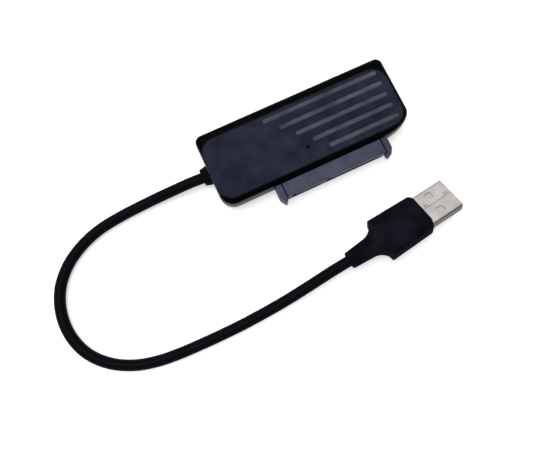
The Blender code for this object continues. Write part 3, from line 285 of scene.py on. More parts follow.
class StageSizes(PropertyGroup):
    """The camera and the lamps."""

    camera_place: FloatVectorProperty(
        name="Camera", description="Where the camera stands", size=3, unit="LENGTH",
        default=(-34.9 * MM, -52.44 * MM, 171.33 * MM), precision=5)
    azimuth: turn("Azimuth", "Direction in which the camera looks, from +Y", 26.63)
    elevation: turn("Elevation", "How steeply the camera looks down", 80.0)
    roll: turn("Roll", "Turn of the picture", 1.4645)
    lens: amount("Lens", "Focal length on a 36 mm wide frame", 32.2, "CAMERA")
    key_power: amount("Softbox", "Power of the softbox overhead", 3.3, "POWER")
    key_size: size("Softbox size", "Side of the softbox", 0.5)
    key_height: size("Softbox height", "Height of the softbox", 0.7)
    fill_power: amount("Fill", "Power of the fill lamp", 0.15, "POWER")
    fill_size: size("Fill size", "Side of the fill lamp", 0.3)
    back_power: amount("Back lamp", "Power of the lamp that the shell mirrors", 0.9, "POWER")
    back_size: size("Back lamp size", "Side of the back lamp", 0.6)
    sky: amount("Sky", "Brightness of the room overhead", 0.34, "NONE")
    horizon: amount("Horizon", "Brightness of the room at the side", 0.07, "NONE")
    floor_size: size("Floor size", "Side of the floor", 4.0)
    floor_glow: amount("Floor glow", "Light that the seen floor adds of its own", 0.58, "NONE")
    floor_lit: size("Lit floor", "Distance from the adapter at which the lamps' light ends", 0.3)
    floor_unlit: size("Unlit floor", "Distance at which the floor's white is all its own", 1.2)


PROPERTY_GROUPS = {
    "adapter_housing": HousingSizes,
    "adapter_cord": CordSizes,
    "adapter_plug": PlugSizes,
    "adapter_colours": FinishColours,
    "adapter_stage": StageSizes,
}


# Nodes and materials

def add(tree, kind, inputs=None, **settings):
    """Adds a node with its settings. Each input takes a value, or the socket that feeds it."""
    node = tree.nodes.new(kind)
    for key, value in settings.items():
        setattr(node, key, value)
    for socket, given in (inputs or {}).items():
        if isinstance(given, bpy.types.NodeSocket):
            tree.links.new(given, node.inputs[socket])
        else:
            node.inputs[socket].default_value = given
    return node


def palette():
    """The colours that a user may change."""
    return bpy.context.scene.adapter_colours


def new_material(name, roughness, metallic=0.0, specular=0.5):
    """A material with a Principled shader, and that shader and its tree."""
    finish = bpy.data.materials.new(name)
    finish.use_nodes = True
    tree = finish.node_tree
    shader = tree.nodes["Principled BSDF"]
    shader.inputs["Roughness"].default_value = roughness
    shader.inputs["Metallic"].default_value = metallic
    shader.inputs["Specular IOR Level"].default_value = specular
    return finish, tree, shader


# Sockets of a Mix node, for two colours and for two levels
MIX_FACTOR, MIX_A, MIX_B, MIX_RESULT = 0, 6, 7, 2
LEVEL_A, LEVEL_B, LEVEL_RESULT = 2, 3, 0


def vary_colour(tree, shader, factor, first, second):
    """A colour that drifts between two tones, the first of which may come from a node."""
    drift = add(
        tree, "ShaderNodeMix", {MIX_FACTOR: factor, MIX_A: first, MIX_B: second},
        data_type="RGBA")
    tree.links.new(drift.outputs[MIX_RESULT], shader.inputs["Base Color"])


def vary_roughness(tree, shader, factor, first, second):
    """A gloss that wanders between two roughness values."""
    gloss = add(tree, "ShaderNodeMapRange", {"Value": factor, "To Min": first, "To Max": second})
    tree.links.new(gloss.outputs["Result"], shader.inputs["Roughness"])


def roughen(tree, shader, height, depth, strength=1.0):
    """Relief of a real depth in metres on a finish."""
    bump = add(
        tree, "ShaderNodeBump", {"Height": height, "Distance": depth, "Strength": strength})
    tree.links.new(bump.outputs["Normal"], shader.inputs["Normal"])


def surface_grain(tree, feature, detail=2.0, stretch=(1.0, 1.0, 1.0), yaw=0.0):
    """Grain whose features have a real size in metres, turned and stretched as it was made.

    Where the real grain is too fine for the render, it is drawn as coarse as it needs to show.
    """
    place = add(tree, "ShaderNodeTexCoord").outputs["Object"]
    along = add(
        tree, "ShaderNodeMapping",
        {"Vector": place, "Rotation": (0.0, 0.0, -yaw), "Scale": stretch}).outputs["Vector"]
    return add(
        tree, "ShaderNodeTexNoise",
        {"Vector": along, "Scale": 1 / feature, "Detail": detail}).outputs["Fac"]


def patches(tree, feature, detail=3.0):
    """Flow marks: a grain whose darker and lighter patches are set apart."""
    grain = surface_grain(tree, feature, detail)
    return add(
        tree, "ShaderNodeMapRange",
        {"Value": grain, "From Min": PATCH_LOW, "From Max": PATCH_HIGH}).outputs["Result"]


def moulded_plastic(name, dark, light, roughness, grain, depth, flow=9 * MM, specular=0.5):
    """An injection-moulded plastic: tones that flowed with the melt, and the mould's texture.

    The real grain is near 0.05 mm; it is drawn as coarse as it needs to show.
    """
    finish, tree, shader = new_material(name, roughness, specular=specular)
    vary_colour(tree, shader, patches(tree, flow), dark, light)
    texture = surface_grain(tree, grain)
    vary_roughness(tree, shader, texture, roughness - SMOOTHER, roughness + ROUGHER)
    roughen(tree, shader, texture, depth)
    return finish


def toned(base, share):
    """A colour at a share of its brightness: darker below 1, and lighter above it."""
    return (*(level * share for level in base[:3]), 1.0)


def textured_area(tree, housing):
    """0 on the textured plan of the top cover and 1 round it, on the polished border that the
    cover's finish paints near black as a painted dark reflection.
    """
    low = Vector((COVER_LOW.x + housing.texture_left, COVER_LOW.y + housing.texture_front, 0))
    high = Vector((COVER_HIGH.x - housing.texture_right, COVER_HIGH.y - housing.texture_back, 0))
    corner = housing.texture_corner
    reach = (high - low) / 2
    inner = (reach.x - corner, reach.y - corner, COVER_HIGH.z)
    nothing = (0.0, 0.0, 0.0)
    place = add(tree, "ShaderNodeTexCoord").outputs["Object"]
    # From the area's middle, folded to one quarter, then from that quarter's corner centre
    for operation, other in (
            ("SUBTRACT", (low + high) / 2), ("ABSOLUTE", nothing),
            ("SUBTRACT", inner), ("MAXIMUM", nothing)):
        place = add(
            tree, "ShaderNodeVectorMath", {0: place, 1: other},
            operation=operation).outputs["Vector"]
    distance = add(tree, "ShaderNodeVectorMath", {0: place}, operation="LENGTH")
    return add(tree, "ShaderNodeMapRange", {
        "Value": distance.outputs["Value"], "From Min": corner - TEXTURE_FADE,
        "From Max": corner + TEXTURE_FADE}).outputs["Result"]


def cover_plastic():
    """ABS of the top cover: a spark-textured plan that spreads the light, near black round it.

    The mould was polished round the plan, and that border is painted near black: a painted dark
    reflection of the room, set wider at the back than at the front.
    """
    colours = palette()
    finish, tree, shader = new_material("spark-textured ABS", 0.5, specular=0.015)
    textured = add(
        tree, "ShaderNodeMix",
        {MIX_FACTOR: patches(tree, 7 * MM, detail=4.0), MIX_A: colours.top,
         MIX_B: colours.top_light}, data_type="RGBA")
    # Round the plan the colour turns to the shoulder's near black, the painted dark reflection.
    painted_dark_border = textured_area(tree, bpy.context.scene.adapter_housing)
    vary_colour(tree, shader, painted_dark_border, textured.outputs[MIX_RESULT], colours.shoulder)
    vary_roughness(tree, shader, painted_dark_border, 0.5, 0.36)
    roughen(tree, shader, surface_grain(tree, 0.35 * MM), depth=0.006 * MM)
    return finish


def textured_groove():
    """A coarser spark texture on the groove floors, which scatters more light."""
    groove = palette().groove
    return moulded_plastic(
        "coarse-textured ABS", toned(groove, 0.5), groove, roughness=0.62, grain=0.5 * MM,
        depth=0.02 * MM, specular=0.1)


def satin_tray():
    """Satin ABS of the side walls, from the same melt as the top: olive grey where it faces up."""
    tray = palette().tray
    return moulded_plastic(
        "satin ABS", toned(tray, 0.85), tray, roughness=0.55, grain=0.4 * MM,
        depth=0.008 * MM, specular=0.3)


def receptacle_plastic():
    """Glass-filled PBT: blue grey, faintly cloudy, with a dry satin surface."""
    colours = palette()
    return moulded_plastic(
        "glass-filled PBT", colours.receptacle, colours.receptacle_light, roughness=0.5,
        grain=0.25 * MM, depth=0.006 * MM, flow=7 * MM, specular=0.12)


def cord_jacket():
    """Extruded PVC: matt black, with faint draw lines round the cord."""
    jacket = palette().jacket
    finish, tree, shader = new_material("extruded PVC", 0.45, specular=0.03)
    along = add(tree, "ShaderNodeAttribute", attribute_name="along").outputs["Fac"]
    drawn = add(
        tree, "ShaderNodeTexNoise", {"W": along, "Scale": 1 / (1.5 * MM), "Detail": 3.0},
        noise_dimensions="1D").outputs["Fac"]
    vary_colour(tree, shader, drawn, jacket, toned(jacket, 1.35))
    vary_roughness(tree, shader, drawn, 0.38, 0.5)
    roughen(tree, shader, surface_grain(tree, 0.4 * MM), depth=0.01 * MM, strength=0.6)
    return finish


def overmould_rubber():
    """Soft PVC moulded over the cord's ends: satin black with a fine blasted skin, and lighter
    patches at 3.2 times its brightness that are painted sheen.
    """
    overmould = palette().overmould
    return moulded_plastic(
        "overmoulded PVC with painted sheen", overmould, toned(overmould, 3.2), roughness=0.8, grain=0.3 * MM,
        depth=0.006 * MM, flow=8 * MM, specular=0.02)


def plated_steel(name, grey, pale):
    """Nickel-plated strip: pale and soft, with the fine lines that rolling left along it."""
    plug = bpy.context.scene.adapter_plug
    finish, tree, shader = new_material(name, 0.34, metallic=1.0)
    rolling = surface_grain(
        tree, 0.15 * MM, detail=4.0, stretch=(0.04, 1.0, 1.0), yaw=plug.yaw)
    vary_colour(tree, shader, patches(tree, 6 * MM), grey, pale)
    vary_roughness(tree, shader, rolling, 0.28, 0.42)
    roughen(tree, shader, rolling, depth=0.002 * MM)
    return finish


def gold_plating():
    """Gold over spring bronze: warm and smooth, with drawn lines along each contact."""
    gold = palette().gold
    finish, tree, shader = new_material("gold-plated bronze", 0.24, metallic=1.0)
    drawn = surface_grain(tree, 0.08 * MM, stretch=(1.0, 0.05, 1.0))
    vary_colour(tree, shader, drawn, toned(gold, 0.8), gold)
    vary_roughness(tree, shader, drawn, 0.2, 0.34)
    return finish


def board_laminate():
    """Green solder mask: copper traces 0.3 mm wide show through it as lighter bands."""
    colours = palette()
    finish, tree, shader = new_material("masked FR4 laminate", 0.35)
    place = add(tree, "ShaderNodeTexCoord").outputs["Object"]
    traces = add(tree, "ShaderNodeTexBrick", {
        "Vector": place, "Color1": colours.laminate,
        "Color2": toned(colours.laminate, 0.9), "Mortar": colours.trace, "Scale": 1.0,
        "Mortar Size": 0.15 * MM, "Brick Width": 6.0 * MM, "Row Height": 1.1 * MM})
    tree.links.new(traces.outputs["Color"], shader.inputs["Base Color"])
    roughen(tree, shader, traces.outputs["Fac"], depth=0.03 * MM, strength=0.6)
    return finish


def moulding_epoxy():
    """Black moulding epoxy of the chips: dry and finely blasted."""
    epoxy = palette().epoxy
    return moulded_plastic(
        "moulding epoxy", epoxy, toned(epoxy, 1.4), roughness=0.6, grain=0.12 * MM,
        depth=0.01 * MM)


def fired_ceramic():
    """Fired ceramic: tan, faintly speckled and almost matt."""
    ceramic = palette().ceramic
    return moulded_plastic(
        "fired ceramic", toned(ceramic, 0.8), ceramic, roughness=0.45, grain=0.1 * MM,
        depth=0.004 * MM, flow=0.3 * MM)


def clear_epoxy():
    """Clear epoxy of the lamp's lens."""
    finish, tree, shader = new_material("clear epoxy", 0.15)
    lens = palette().lens
    vary_colour(tree, shader, surface_grain(tree, 0.3 * MM), toned(lens, 0.9), lens)
    shader.inputs["Transmission Weight"].default_value = 0.6
    return finish


def tongue_plastic():
    """White PBT of the insulator in the shell."""
    tongue = palette().tongue
    return moulded_plastic(
        "white PBT", toned(tongue, 0.94), tongue, roughness=0.5, grain=0.2 * MM,
        depth=0.004 * MM)


def wire_insulation(name, hex_colour):
    """Soft PVC of one wire, glossier than the cord's jacket."""
    base = linear(hex_colour)
    return moulded_plastic(
        name, toned(base, 0.85), base, roughness=0.4, grain=0.2 * MM, depth=0.004 * MM)


# Shapes

def section_outline(left, right, front, back, radii, steps):
    """A rounded rectangle; its corners run back right, back left, front left, front right.

    Each corner is a pair: how far it runs along the front or back, and along the side.
    """
    corners = ((right, back, 0), (left, back, 90), (left, front, 180), (right, front, 270))
    points = []
    for (x, y, start), (along, across) in zip(corners, radii):
        u = x - along if x == right else x + along
        v = y - across if y == back else y + across
        for step in range(steps + 1):
            angle = radians(start + RIGHT_ANGLE * step / steps)
            points.append((u + along * cos(angle), v + across * sin(angle)))
    return points


def centred_outline(width, depth, radius, steps):
    """A rounded rectangle round its own centre, its radius at most half its smaller side."""
    corner = min(radius, width / OVER_TWO, depth / OVER_TWO)
    return section_outline(
        -width / 2, width / 2, -depth / 2, depth / 2, [(corner, corner)] * 4, steps)


def as_mesh(bm, name):
    """What was built, as a mesh."""
    mesh = bpy.data.meshes.new(name)
    bm.to_mesh(mesh)
    bm.free()
    return mesh


def loft(name, rings):
    """A closed surface through rings of equal length, with a face across each end."""
    bm = bmesh.new()
    rows = [[bm.verts.new(point) for point in ring] for ring in rings]
    count = len(rows[0])
    for near, far in zip(rows, rows[1:]):
        for i in range(count):
            j = (i + 1) % count
            bm.faces.new((near[i], near[j], far[j], far[i]))
    bm.faces.new(rows[0][::-1])
    bm.faces.new(rows[-1])
    return as_mesh(bm, name)


def block(name, low, high):
    """A box between two corners."""
    bm = bmesh.new()
    low, high = Vector(low), Vector(high)
    place = Matrix.Translation((low + high) / 2) @ Matrix.Diagonal((*(high - low), 1.0))
    bmesh.ops.create_cube(bm, size=1.0, matrix=place)
    return as_mesh(bm, name)


def cylinder(name, radius, x, y, bottom, top, sides=ROUND_SIDES):
    """An upright cylinder."""
    bm = bmesh.new()
    bmesh.ops.create_cone(
        bm, cap_ends=True, segments=sides, radius1=radius, radius2=radius, depth=top - bottom,
        matrix=Matrix.Translation((x, y, (bottom + top) / 2)))
    return as_mesh(bm, name)


def place_object(name, data):
    """A new object in the scene, unturned at the origin."""
    piece = bpy.data.objects.new(name, data)
    bpy.context.scene.collection.objects.link(piece)
    return piece


def evaluated_mesh(piece):
    """The plain mesh that a piece and its modifiers make."""
    bpy.context.view_layer.update()
    evaluated = piece.evaluated_get(bpy.context.evaluated_depsgraph_get())
    return bpy.data.meshes.new_from_object(evaluated)


def settle(piece):
    """Makes a piece's modifiers part of its mesh."""
    mesh = evaluated_mesh(piece)
    piece.modifiers.clear()
    piece.data = mesh


def combine(piece, mesh, operation):
    """Joins or cuts a piece with a tool's mesh."""
    tool = place_object("tool", mesh)
    change = piece.modifiers.new(operation.lower(), "BOOLEAN")
    change.operation = operation
    change.solver = "EXACT"
    change.object = tool
    settle(piece)
    bpy.data.objects.remove(tool, do_unlink=True)
    bpy.data.meshes.remove(mesh)


def soften_edges(piece, width, angle=COVER_ANGLE):
    """The small rounding that a mould or a press leaves on every edge, with even shading."""
    bm = bmesh.new()
    bm.from_mesh(piece.data)
    bmesh.ops.remove_doubles(bm, verts=bm.verts, dist=MERGE)
    bmesh.ops.dissolve_limit(
        bm, angle_limit=radians(FLAT_ANGLE), verts=bm.verts, edges=bm.edges, delimit={"MATERIAL"})
    bm.to_mesh(piece.data)
    bm.free()
    edges = piece.modifiers.new("edges", "BEVEL")
    edges.width = width
    edges.segments = EDGE_SEGMENTS
    edges.limit_method = "ANGLE"
    edges.angle_limit = radians(angle)
    clean = piece.modifiers.new("clean corners", "WELD")
    clean.merge_threshold = WELD
    piece.data.shade_smooth()
    even = piece.modifiers.new("even shading", "WEIGHTED_NORMAL")
    even.weight = FACE_WEIGHT
    settle(piece)


def solid_copy(node, name):
    """A CAD node's solid as one joined mesh, ready for finer edges."""
    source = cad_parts[node].data
    mesh = bpy.data.meshes.new(name)
    mesh.from_pydata(
        [vertex.co for vertex in source.vertices], [],
        [list(face.vertices) for face in source.polygons])
    return place_object(name, mesh)


def dress(piece, finish):
    """One finish all over a piece."""
    piece.data.materials.clear()
    piece.data.materials.append(finish)


def carry(piece, slot, *nodes):
    """The piece moves with the only body and stands for the nodes that it replaces."""
    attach(piece, "root")
    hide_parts(*nodes)


# Geometry nodes

def node_tree(name, sizes):
    """A tree that takes a mesh or curve, named sizes and a material, and its input sockets."""
    tree = bpy.data.node_groups.new(name, "GeometryNodeTree")
    tree.interface.new_socket("Geometry", in_out="INPUT", socket_type="NodeSocketGeometry")
    for label, kind in sizes:
        tree.interface.new_socket(label, in_out="INPUT", socket_type=f"NodeSocket{kind}")
    tree.interface.new_socket("Material", in_out="INPUT", socket_type="NodeSocketMaterial")
    tree.interface.new_socket("Geometry", in_out="OUTPUT", socket_type="NodeSocketGeometry")
    return tree, add(tree, "NodeGroupInput").outputs


def end_tree(tree, geometry, finish):
    """Ends a tree with plain geometry in its material."""
    real = add(tree, "GeometryNodeRealizeInstances", {"Geometry": geometry})
    dressed = add(
        tree, "GeometryNodeSetMaterial",
        {"Geometry": real.outputs["Geometry"], "Material": finish})
    add(tree, "NodeGroupOutput", {"Geometry": dressed.outputs["Geometry"]})


def run_tree(piece, tree, values):
    """Runs a tree on a piece with its inputs set by name, and returns the plain mesh."""
    modifier = piece.modifiers.new(tree.name, "NODES")
    modifier.node_group = tree
    for item in tree.interface.items_tree:
        if item.in_out == "INPUT" and item.name in values:
            modifier[item.identifier] = values[item.name]
    mesh = evaluated_mesh(piece)
    piece.modifiers.remove(modifier)
    return mesh


def cord_tree():
    """A round tube along a curve, which keeps the distance along it as an attribute."""
    tree, given = node_tree(
        "cord tube", (("Radius", "Float"), ("Step", "Float"), ("Sides", "Int")))
    even = add(
        tree, "GeometryNodeResampleCurve", {"Curve": given["Geometry"], "Length": given["Step"]},
        mode="LENGTH")
    distance = add(tree, "GeometryNodeSplineParameter").outputs["Length"]
    measured = add(
        tree, "GeometryNodeStoreNamedAttribute",
        {"Geometry": even.outputs["Curve"], "Name": "along", "Value": distance},
        data_type="FLOAT", domain="POINT")
    ring = add(
        tree, "GeometryNodeCurvePrimitiveCircle",
        {"Radius": given["Radius"], "Resolution": given["Sides"]})
    tube = add(tree, "GeometryNodeCurveToMesh", {
        "Curve": measured.outputs["Geometry"], "Profile Curve": ring.outputs["Curve"],
        "Fill Caps": True})
    round_tube = add(tree, "GeometryNodeSetShadeSmooth", {"Geometry": tube.outputs["Mesh"]})
    end_tree(tree, round_tube.outputs["Geometry"], given["Material"])
    return tree


def groove_tree():
    """Round-ended bars side by side, each one pitch shorter at its left end than the last.

    The mesh that comes in is one bar's round end. Its left half is drawn out to the bar's length.
    """
    tree, given = node_tree(
        "groove bars", (("Count", "Int"), ("Pitch", "Float"), ("Longest run", "Float"),
                        ("Right", "Float"), ("First", "Float")))
    place = add(tree, "GeometryNodeInputPosition").outputs["Position"]
    across_end = add(tree, "ShaderNodeSeparateXYZ", {"Vector": place}).outputs["X"]
    on_left = add(tree, "ShaderNodeMath", {0: across_end, 1: 0.0}, operation="LESS_THAN")
    end = add(
        tree, "GeometryNodeStoreNamedAttribute",
        {"Geometry": given["Geometry"], "Name": "left", "Value": on_left.outputs[0]},
        data_type="FLOAT", domain="POINT")
    row = add(
        tree, "GeometryNodeMeshLine", {"Offset": (0.0, 0.0, 0.0), "Count": given["Count"]})
    index = add(tree, "GeometryNodeInputIndex").outputs["Index"]
    stepped = add(
        tree, "ShaderNodeMath", {0: index, 1: given["Pitch"]}, operation="MULTIPLY").outputs[0]
    back = add(tree, "ShaderNodeMath", {0: given["First"], 1: stepped}, operation="SUBTRACT")
    spot = add(tree, "ShaderNodeCombineXYZ", {"X": given["Right"], "Y": back.outputs[0]})
    rows = add(
        tree, "GeometryNodeSetPosition",
        {"Geometry": row.outputs["Mesh"], "Position": spot.outputs["Vector"]})
    run = add(tree, "ShaderNodeMath", {0: given["Longest run"], 1: stepped}, operation="SUBTRACT")
    points = add(
        tree, "GeometryNodeStoreNamedAttribute",
        {"Geometry": rows.outputs["Geometry"], "Name": "run", "Value": run.outputs[0]},
        data_type="FLOAT", domain="POINT")
    ends = add(
        tree, "GeometryNodeInstanceOnPoints",
        {"Points": points.outputs["Geometry"], "Instance": end.outputs["Geometry"]})
    real = add(tree, "GeometryNodeRealizeInstances", {"Geometry": ends.outputs["Instances"]})
    # To the left by the bar's run, for the points of a left half alone
    reach = -1.0
    for name in ("left", "run"):
        kept = add(tree, "GeometryNodeInputNamedAttribute", {"Name": name}, data_type="FLOAT")
        reach = add(
            tree, "ShaderNodeMath", {0: kept.outputs["Attribute"], 1: reach},
            operation="MULTIPLY").outputs[0]
    offset = add(tree, "ShaderNodeCombineXYZ", {"X": reach})
    bars = add(
        tree, "GeometryNodeSetPosition",
        {"Geometry": real.outputs["Geometry"], "Offset": offset.outputs["Vector"]})
    end_tree(tree, bars.outputs["Geometry"], given["Material"])
    return tree


# Camera

def camera_matrix(stage):
    """The camera's place: it looks down at the housing, from its front and its cord's side."""
    forward = Vector((
        sin(stage.azimuth) * cos(stage.elevation),
        cos(stage.azimuth) * cos(stage.elevation),
        -sin(stage.elevation)))
    right = Vector((cos(stage.azimuth), -sin(stage.azimuth), 0.0))
    up = right.cross(forward)
    rolled_right = cos(stage.roll) * right + sin(stage.roll) * up
    rolled_up = cos(stage.roll) * up - sin(stage.roll) * right
    turned = Matrix((rolled_right, rolled_up, -forward)).transposed().to_4x4()
    return Matrix.Translation(stage.camera_place) @ turned


class ADAPTER_OT_camera(Operator):
    """Stands the camera where the whole adapter is seen from above"""
    bl_idname = "adapter.camera"
    bl_label = "Camera"

    def execute(self, context):
        stage = context.scene.adapter_stage
        lens = bpy.data.cameras.new("camera")
        lens.sensor_fit = "HORIZONTAL"
        lens.sensor_width = FILM_WIDTH
        lens.lens = stage.lens
        lens.clip_start = 1 * MM
        camera = place_object("camera", lens)
        camera.matrix_world = camera_matrix(stage)
        context.scene.camera = camera
        return {"FINISHED"}


# Cord, gland and plug

def plug_place(plug):
    """Where the plug lies: its own X runs from the grip to the shell's end."""
    return (
        Matrix.Translation(plug.place)
        @ Matrix.Rotation(plug.yaw, 4, "Z")
        @ Matrix.Rotation(plug.roll, 4, "X"))


def gland_centre():
    """How far back and how high the gland passes the end wall."""
    return (GLAND_LOW.y + GLAND_HIGH.y) / 2, (GLAND_LOW.z + GLAND_HIGH.z) / 2


def smooth_route(points, lowest):
    """Points along a smooth curve that passes through a route, none of them below a height."""
    knots = [Vector(point) for point in points]
    knots = [2 * knots[0] - knots[1], *knots, 2 * knots[-1] - knots[-2]]
    path = []
    for a, b, c, d in zip(knots, knots[1:], knots[2:], knots[3:]):
        for step in range(ROUTE_STEPS):
            t = step / ROUTE_STEPS
            path.append(0.5 * (
                2 * b + (c - a) * t + (2 * a - 5 * b + 4 * c - d) * t * t
                + (3 * b - a - 3 * c + d) * t ** 3))
    path.append(knots[-2])
    return [Vector((point.x, point.y, max(point.z, lowest))) for point in path]


def grip_sections(plug):
    """Place, width and depth of the overmould's sections, from the neck's end to its front."""
    end = -(plug.grip_length + plug.shoulder_length + plug.neck_length)
    bead = plug.neck_bead
    sections = [
        (end, plug.neck_end_diameter - 2 * bead, plug.neck_end_diameter - 2 * bead),
        (end + bead, plug.neck_end_diameter, plug.neck_end_diameter),
    ]
    neck = -(plug.grip_length + plug.shoulder_length)
    for step in range(SHOULDER_STEPS + 1):
        angle = radians(RIGHT_ANGLE * step / SHOULDER_STEPS)
        out = 1 - cos(angle)
        sections.append((
            neck + plug.shoulder_length * sin(angle),
            plug.neck_diameter + (plug.grip_width - plug.neck_diameter) * out,
            plug.neck_diameter + (plug.grip_depth - plug.neck_diameter) * out))
    for step in range(SHOULDER_STEPS + 1):
        angle = radians(RIGHT_ANGLE * step / SHOULDER_STEPS)
        less = 2 * plug.front_chamfer * (1 - cos(angle))
        sections.append((
            -plug.front_set_back - plug.front_chamfer_length * (1 - sin(angle)),
            plug.grip_front_width - less, plug.grip_depth - less))
    return sections


def grip_ring(plug, x, width, depth):
    """One section: round along the neck, flat-sided at the body and bowed at the front."""
    body_start = -(plug.grip_length + plug.shoulder_length)
    bodily = min(1.0, max(0.0, (x - body_start) / plug.shoulder_length))
    round_corner = min(width, depth) / OVER_TWO
    corner = round_corner + (plug.grip_corner - round_corner) * bodily ** 2
    bowed = plug.grip_length * plug.crown_share
    crown = plug.crown * min(1.0, max(0.0, 1 + (x + plug.front_set_back) / bowed))
    outline = centred_outline(width, depth, min(corner, round_corner), CORNER_STEPS)
    return [(x + crown * (1 - (2 * y / width) ** 2), y, z) for y, z in outline]


class ADAPTER_OT_plug_grip(Operator):
    """Moulds the plug's grip, with its hollow shoulders, bowed front and tapered neck"""
    bl_idname = "adapter.plug_grip"
    bl_label = "Plug grip"

    def execute(self, context):
        plug = context.scene.adapter_plug
        rings = [grip_ring(plug, *section) for section in grip_sections(plug)]
        grip = place_object("grip_overmould", loft("grip_overmould", rings))
        pocket = [
            [(x, y, z) for y, z in centred_outline(
                plug.shell_width + 2 * CLEARANCE, plug.shell_depth + 2 * CLEARANCE,
                plug.shell_corner + CLEARANCE, CORNER_STEPS)]
            for x in (-plug.shell_in_grip - CLEARANCE, 2 * plug.crown + CLEARANCE)]
        combine(grip, loft("shell pocket", pocket), "DIFFERENCE")
        soften_edges(grip, plug.grip_edge, ROUND_ANGLE)
        grip.data.transform(plug_place(plug))
        dress(grip, overmould_rubber())
        carry(grip, "cord_rubber", "plug_grip")
        return {"FINISHED"}


class ADAPTER_OT_plug_shell(Operator):
    """Copies the plug's shell, with a worn-in rounding on every cut edge"""
    bl_idname = "adapter.plug_shell"
    bl_label = "Plug shell"

    def execute(self, context):
        plug, colours = context.scene.adapter_plug, palette()
        shell = solid_copy("plug_shell", "shell_sheet")
        soften_edges(shell, plug.shell_edge, SHEET_ANGLE)
        dress(shell, plated_steel("nickel-plated steel", colours.steel_grey, colours.steel))
        # A second plating for the folded sides, painted dark as a painted reflection of a dark
        # room.
        shell.data.materials.append(plated_steel(
            "nickel plating with painted dark reflection", toned(colours.steel_painted_dark_side, 0.8), colours.steel_painted_dark_side))
        across = plug_place(plug).to_3x3() @ Vector((0, 1, 0))
        # Faces across the plug's width, its folded sides, take the painted dark reflection.
        for face in shell.data.polygons:
            face.material_index = int(abs(face.normal.dot(across)) > SIDE_FACING)
        carry(shell, "plated_steel", "plug_shell")
        return {"FINISHED"}


class ADAPTER_OT_gland(Operator):
    """Moulds the strain relief: flange inside the wall, neck through it, tapered nose outside"""
    bl_idname = "adapter.gland"
    bl_label = "Gland"

    def execute(self, context):
        cord = context.scene.adapter_cord
        wall = COVER_LOW.x - SEAT
        flange = GLAND_HIGH.x - cord.gland_flange
        neck = (cord.gland_neck_width, cord.gland_neck_depth)
        inner = (cord.gland_flange_width, cord.gland_flange_depth)
        sections = (
            (GLAND_LOW.x, cord.gland_end_width, cord.gland_end_depth),
            (wall, cord.gland_width, cord.gland_depth),
            (wall, *neck),
            (flange, *neck),
            (flange, *inner),
            (GLAND_HIGH.x, *inner),
        )
        y, z = gland_centre()
        rings = [
            [(x, y + u, z + v) for u, v in centred_outline(*shape, cord.gland_corner, CORNER_STEPS)]
            for x, *shape in sections]
        gland = place_object("gland_moulding", loft("gland_moulding", rings))
        soften_edges(gland, cord.gland_edge, ROUND_ANGLE)
        dress(gland, overmould_rubber())
        carry(gland, "cord_rubber", "cable_gland")
        return {"FINISHED"}


class ADAPTER_OT_cord(Operator):
    """Runs the cord's jacket from the gland to the plug's neck"""
    bl_idname = "adapter.cord"
    bl_label = "Cord"

    def execute(self, context):
        cord = context.scene.adapter_cord
        plug = context.scene.adapter_plug
        y, z = gland_centre()
        start = Vector((GLAND_LOW.x + cord.bite, y, z))
        neck_end = -(plug.grip_length + plug.shoulder_length + plug.neck_length)
        end = plug_place(plug) @ Vector((neck_end + cord.bite, 0, 0))
        route = [[value * MM for value in point] for point in CORD_ROUTE]
        path = smooth_route((start, *route, end), cord.diameter / 2)
        line = bpy.data.curves.new("cord line", "CURVE")
        line.dimensions = "3D"
        spline = line.splines.new("POLY")
        spline.points.add(len(path) - 1)
        for point, place in zip(spline.points, path):
            point.co = (*place, 1.0)
        guide = place_object("cord line", line)
        jacket = place_object("cord_jacket", run_tree(guide, cord_tree(), {
            "Radius": cord.diameter / 2, "Step": cord.step, "Sides": cord.sides,
            "Material": cord_jacket()}))
        bpy.data.objects.remove(guide, do_unlink=True)
        carry(jacket, "cord_rubber", "cable")
        on_cord = [bpy.data.objects["grip_overmould"], bpy.data.objects["shell_sheet"],
                   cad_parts["plug_insulator"]]
        on_cord += [
            node for name, node in sorted(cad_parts.items())
            if name.startswith("plug_contact")]
        return {"FINISHED"}


# Housing

def housing_ring(housing, inset, height):
    """The housing's outline at an inset, at one height."""
    back, front = housing.back_corner, housing.front_left_corner
    corners = ((back, back), (back, back), (front, front),
               (housing.sweep_length, housing.sweep_width))
    outline = section_outline(
        COVER_LOW.x + inset, COVER_HIGH.x - inset, COVER_LOW.y + inset, COVER_HIGH.y - inset,
        [[max(reach - inset, SMALLEST_RADIUS) for reach in corner] for corner in corners],
        CORNER_STEPS)
    # One point more on the front edge, after three corners, where the opening starts
    outline.insert(3 * (CORNER_STEPS + 1), (OPENING_LEFT, COVER_LOW.y + inset))
    return [(x, y, height) for x, y in outline]


def section_arc(centre_inset, centre_height, radius, start, end):
    """A round stretch of a wall's section, as insets and heights."""
    points = []
    for step in range(SHOULDER_STEPS + 1):
        angle = radians(start + (end - start) * step / SHOULDER_STEPS)
        points.append((centre_inset - radius * cos(angle), centre_height + radius * sin(angle)))
    return points


def cover_section(housing):
    """Insets and heights round the top cover's wall, from its ceiling to its top face."""
    centre = (housing.shoulder_radius, COVER_HIGH.z - housing.shoulder_radius)
    rim = housing.seam_height + CLEARANCE
    rebate_inset = housing.lip_inset - CLEARANCE
    rebate_top = housing.seam_height + housing.lip_height + CLEARANCE
    return (
        *section_arc(*centre, housing.shoulder_radius - housing.wall, RIGHT_ANGLE, 0),
        (housing.wall, rebate_top),
        (rebate_inset, rebate_top),
        (rebate_inset, rim),
        (0.0, rim),
        *section_arc(*centre, housing.shoulder_radius, 0, RIGHT_ANGLE),
    )


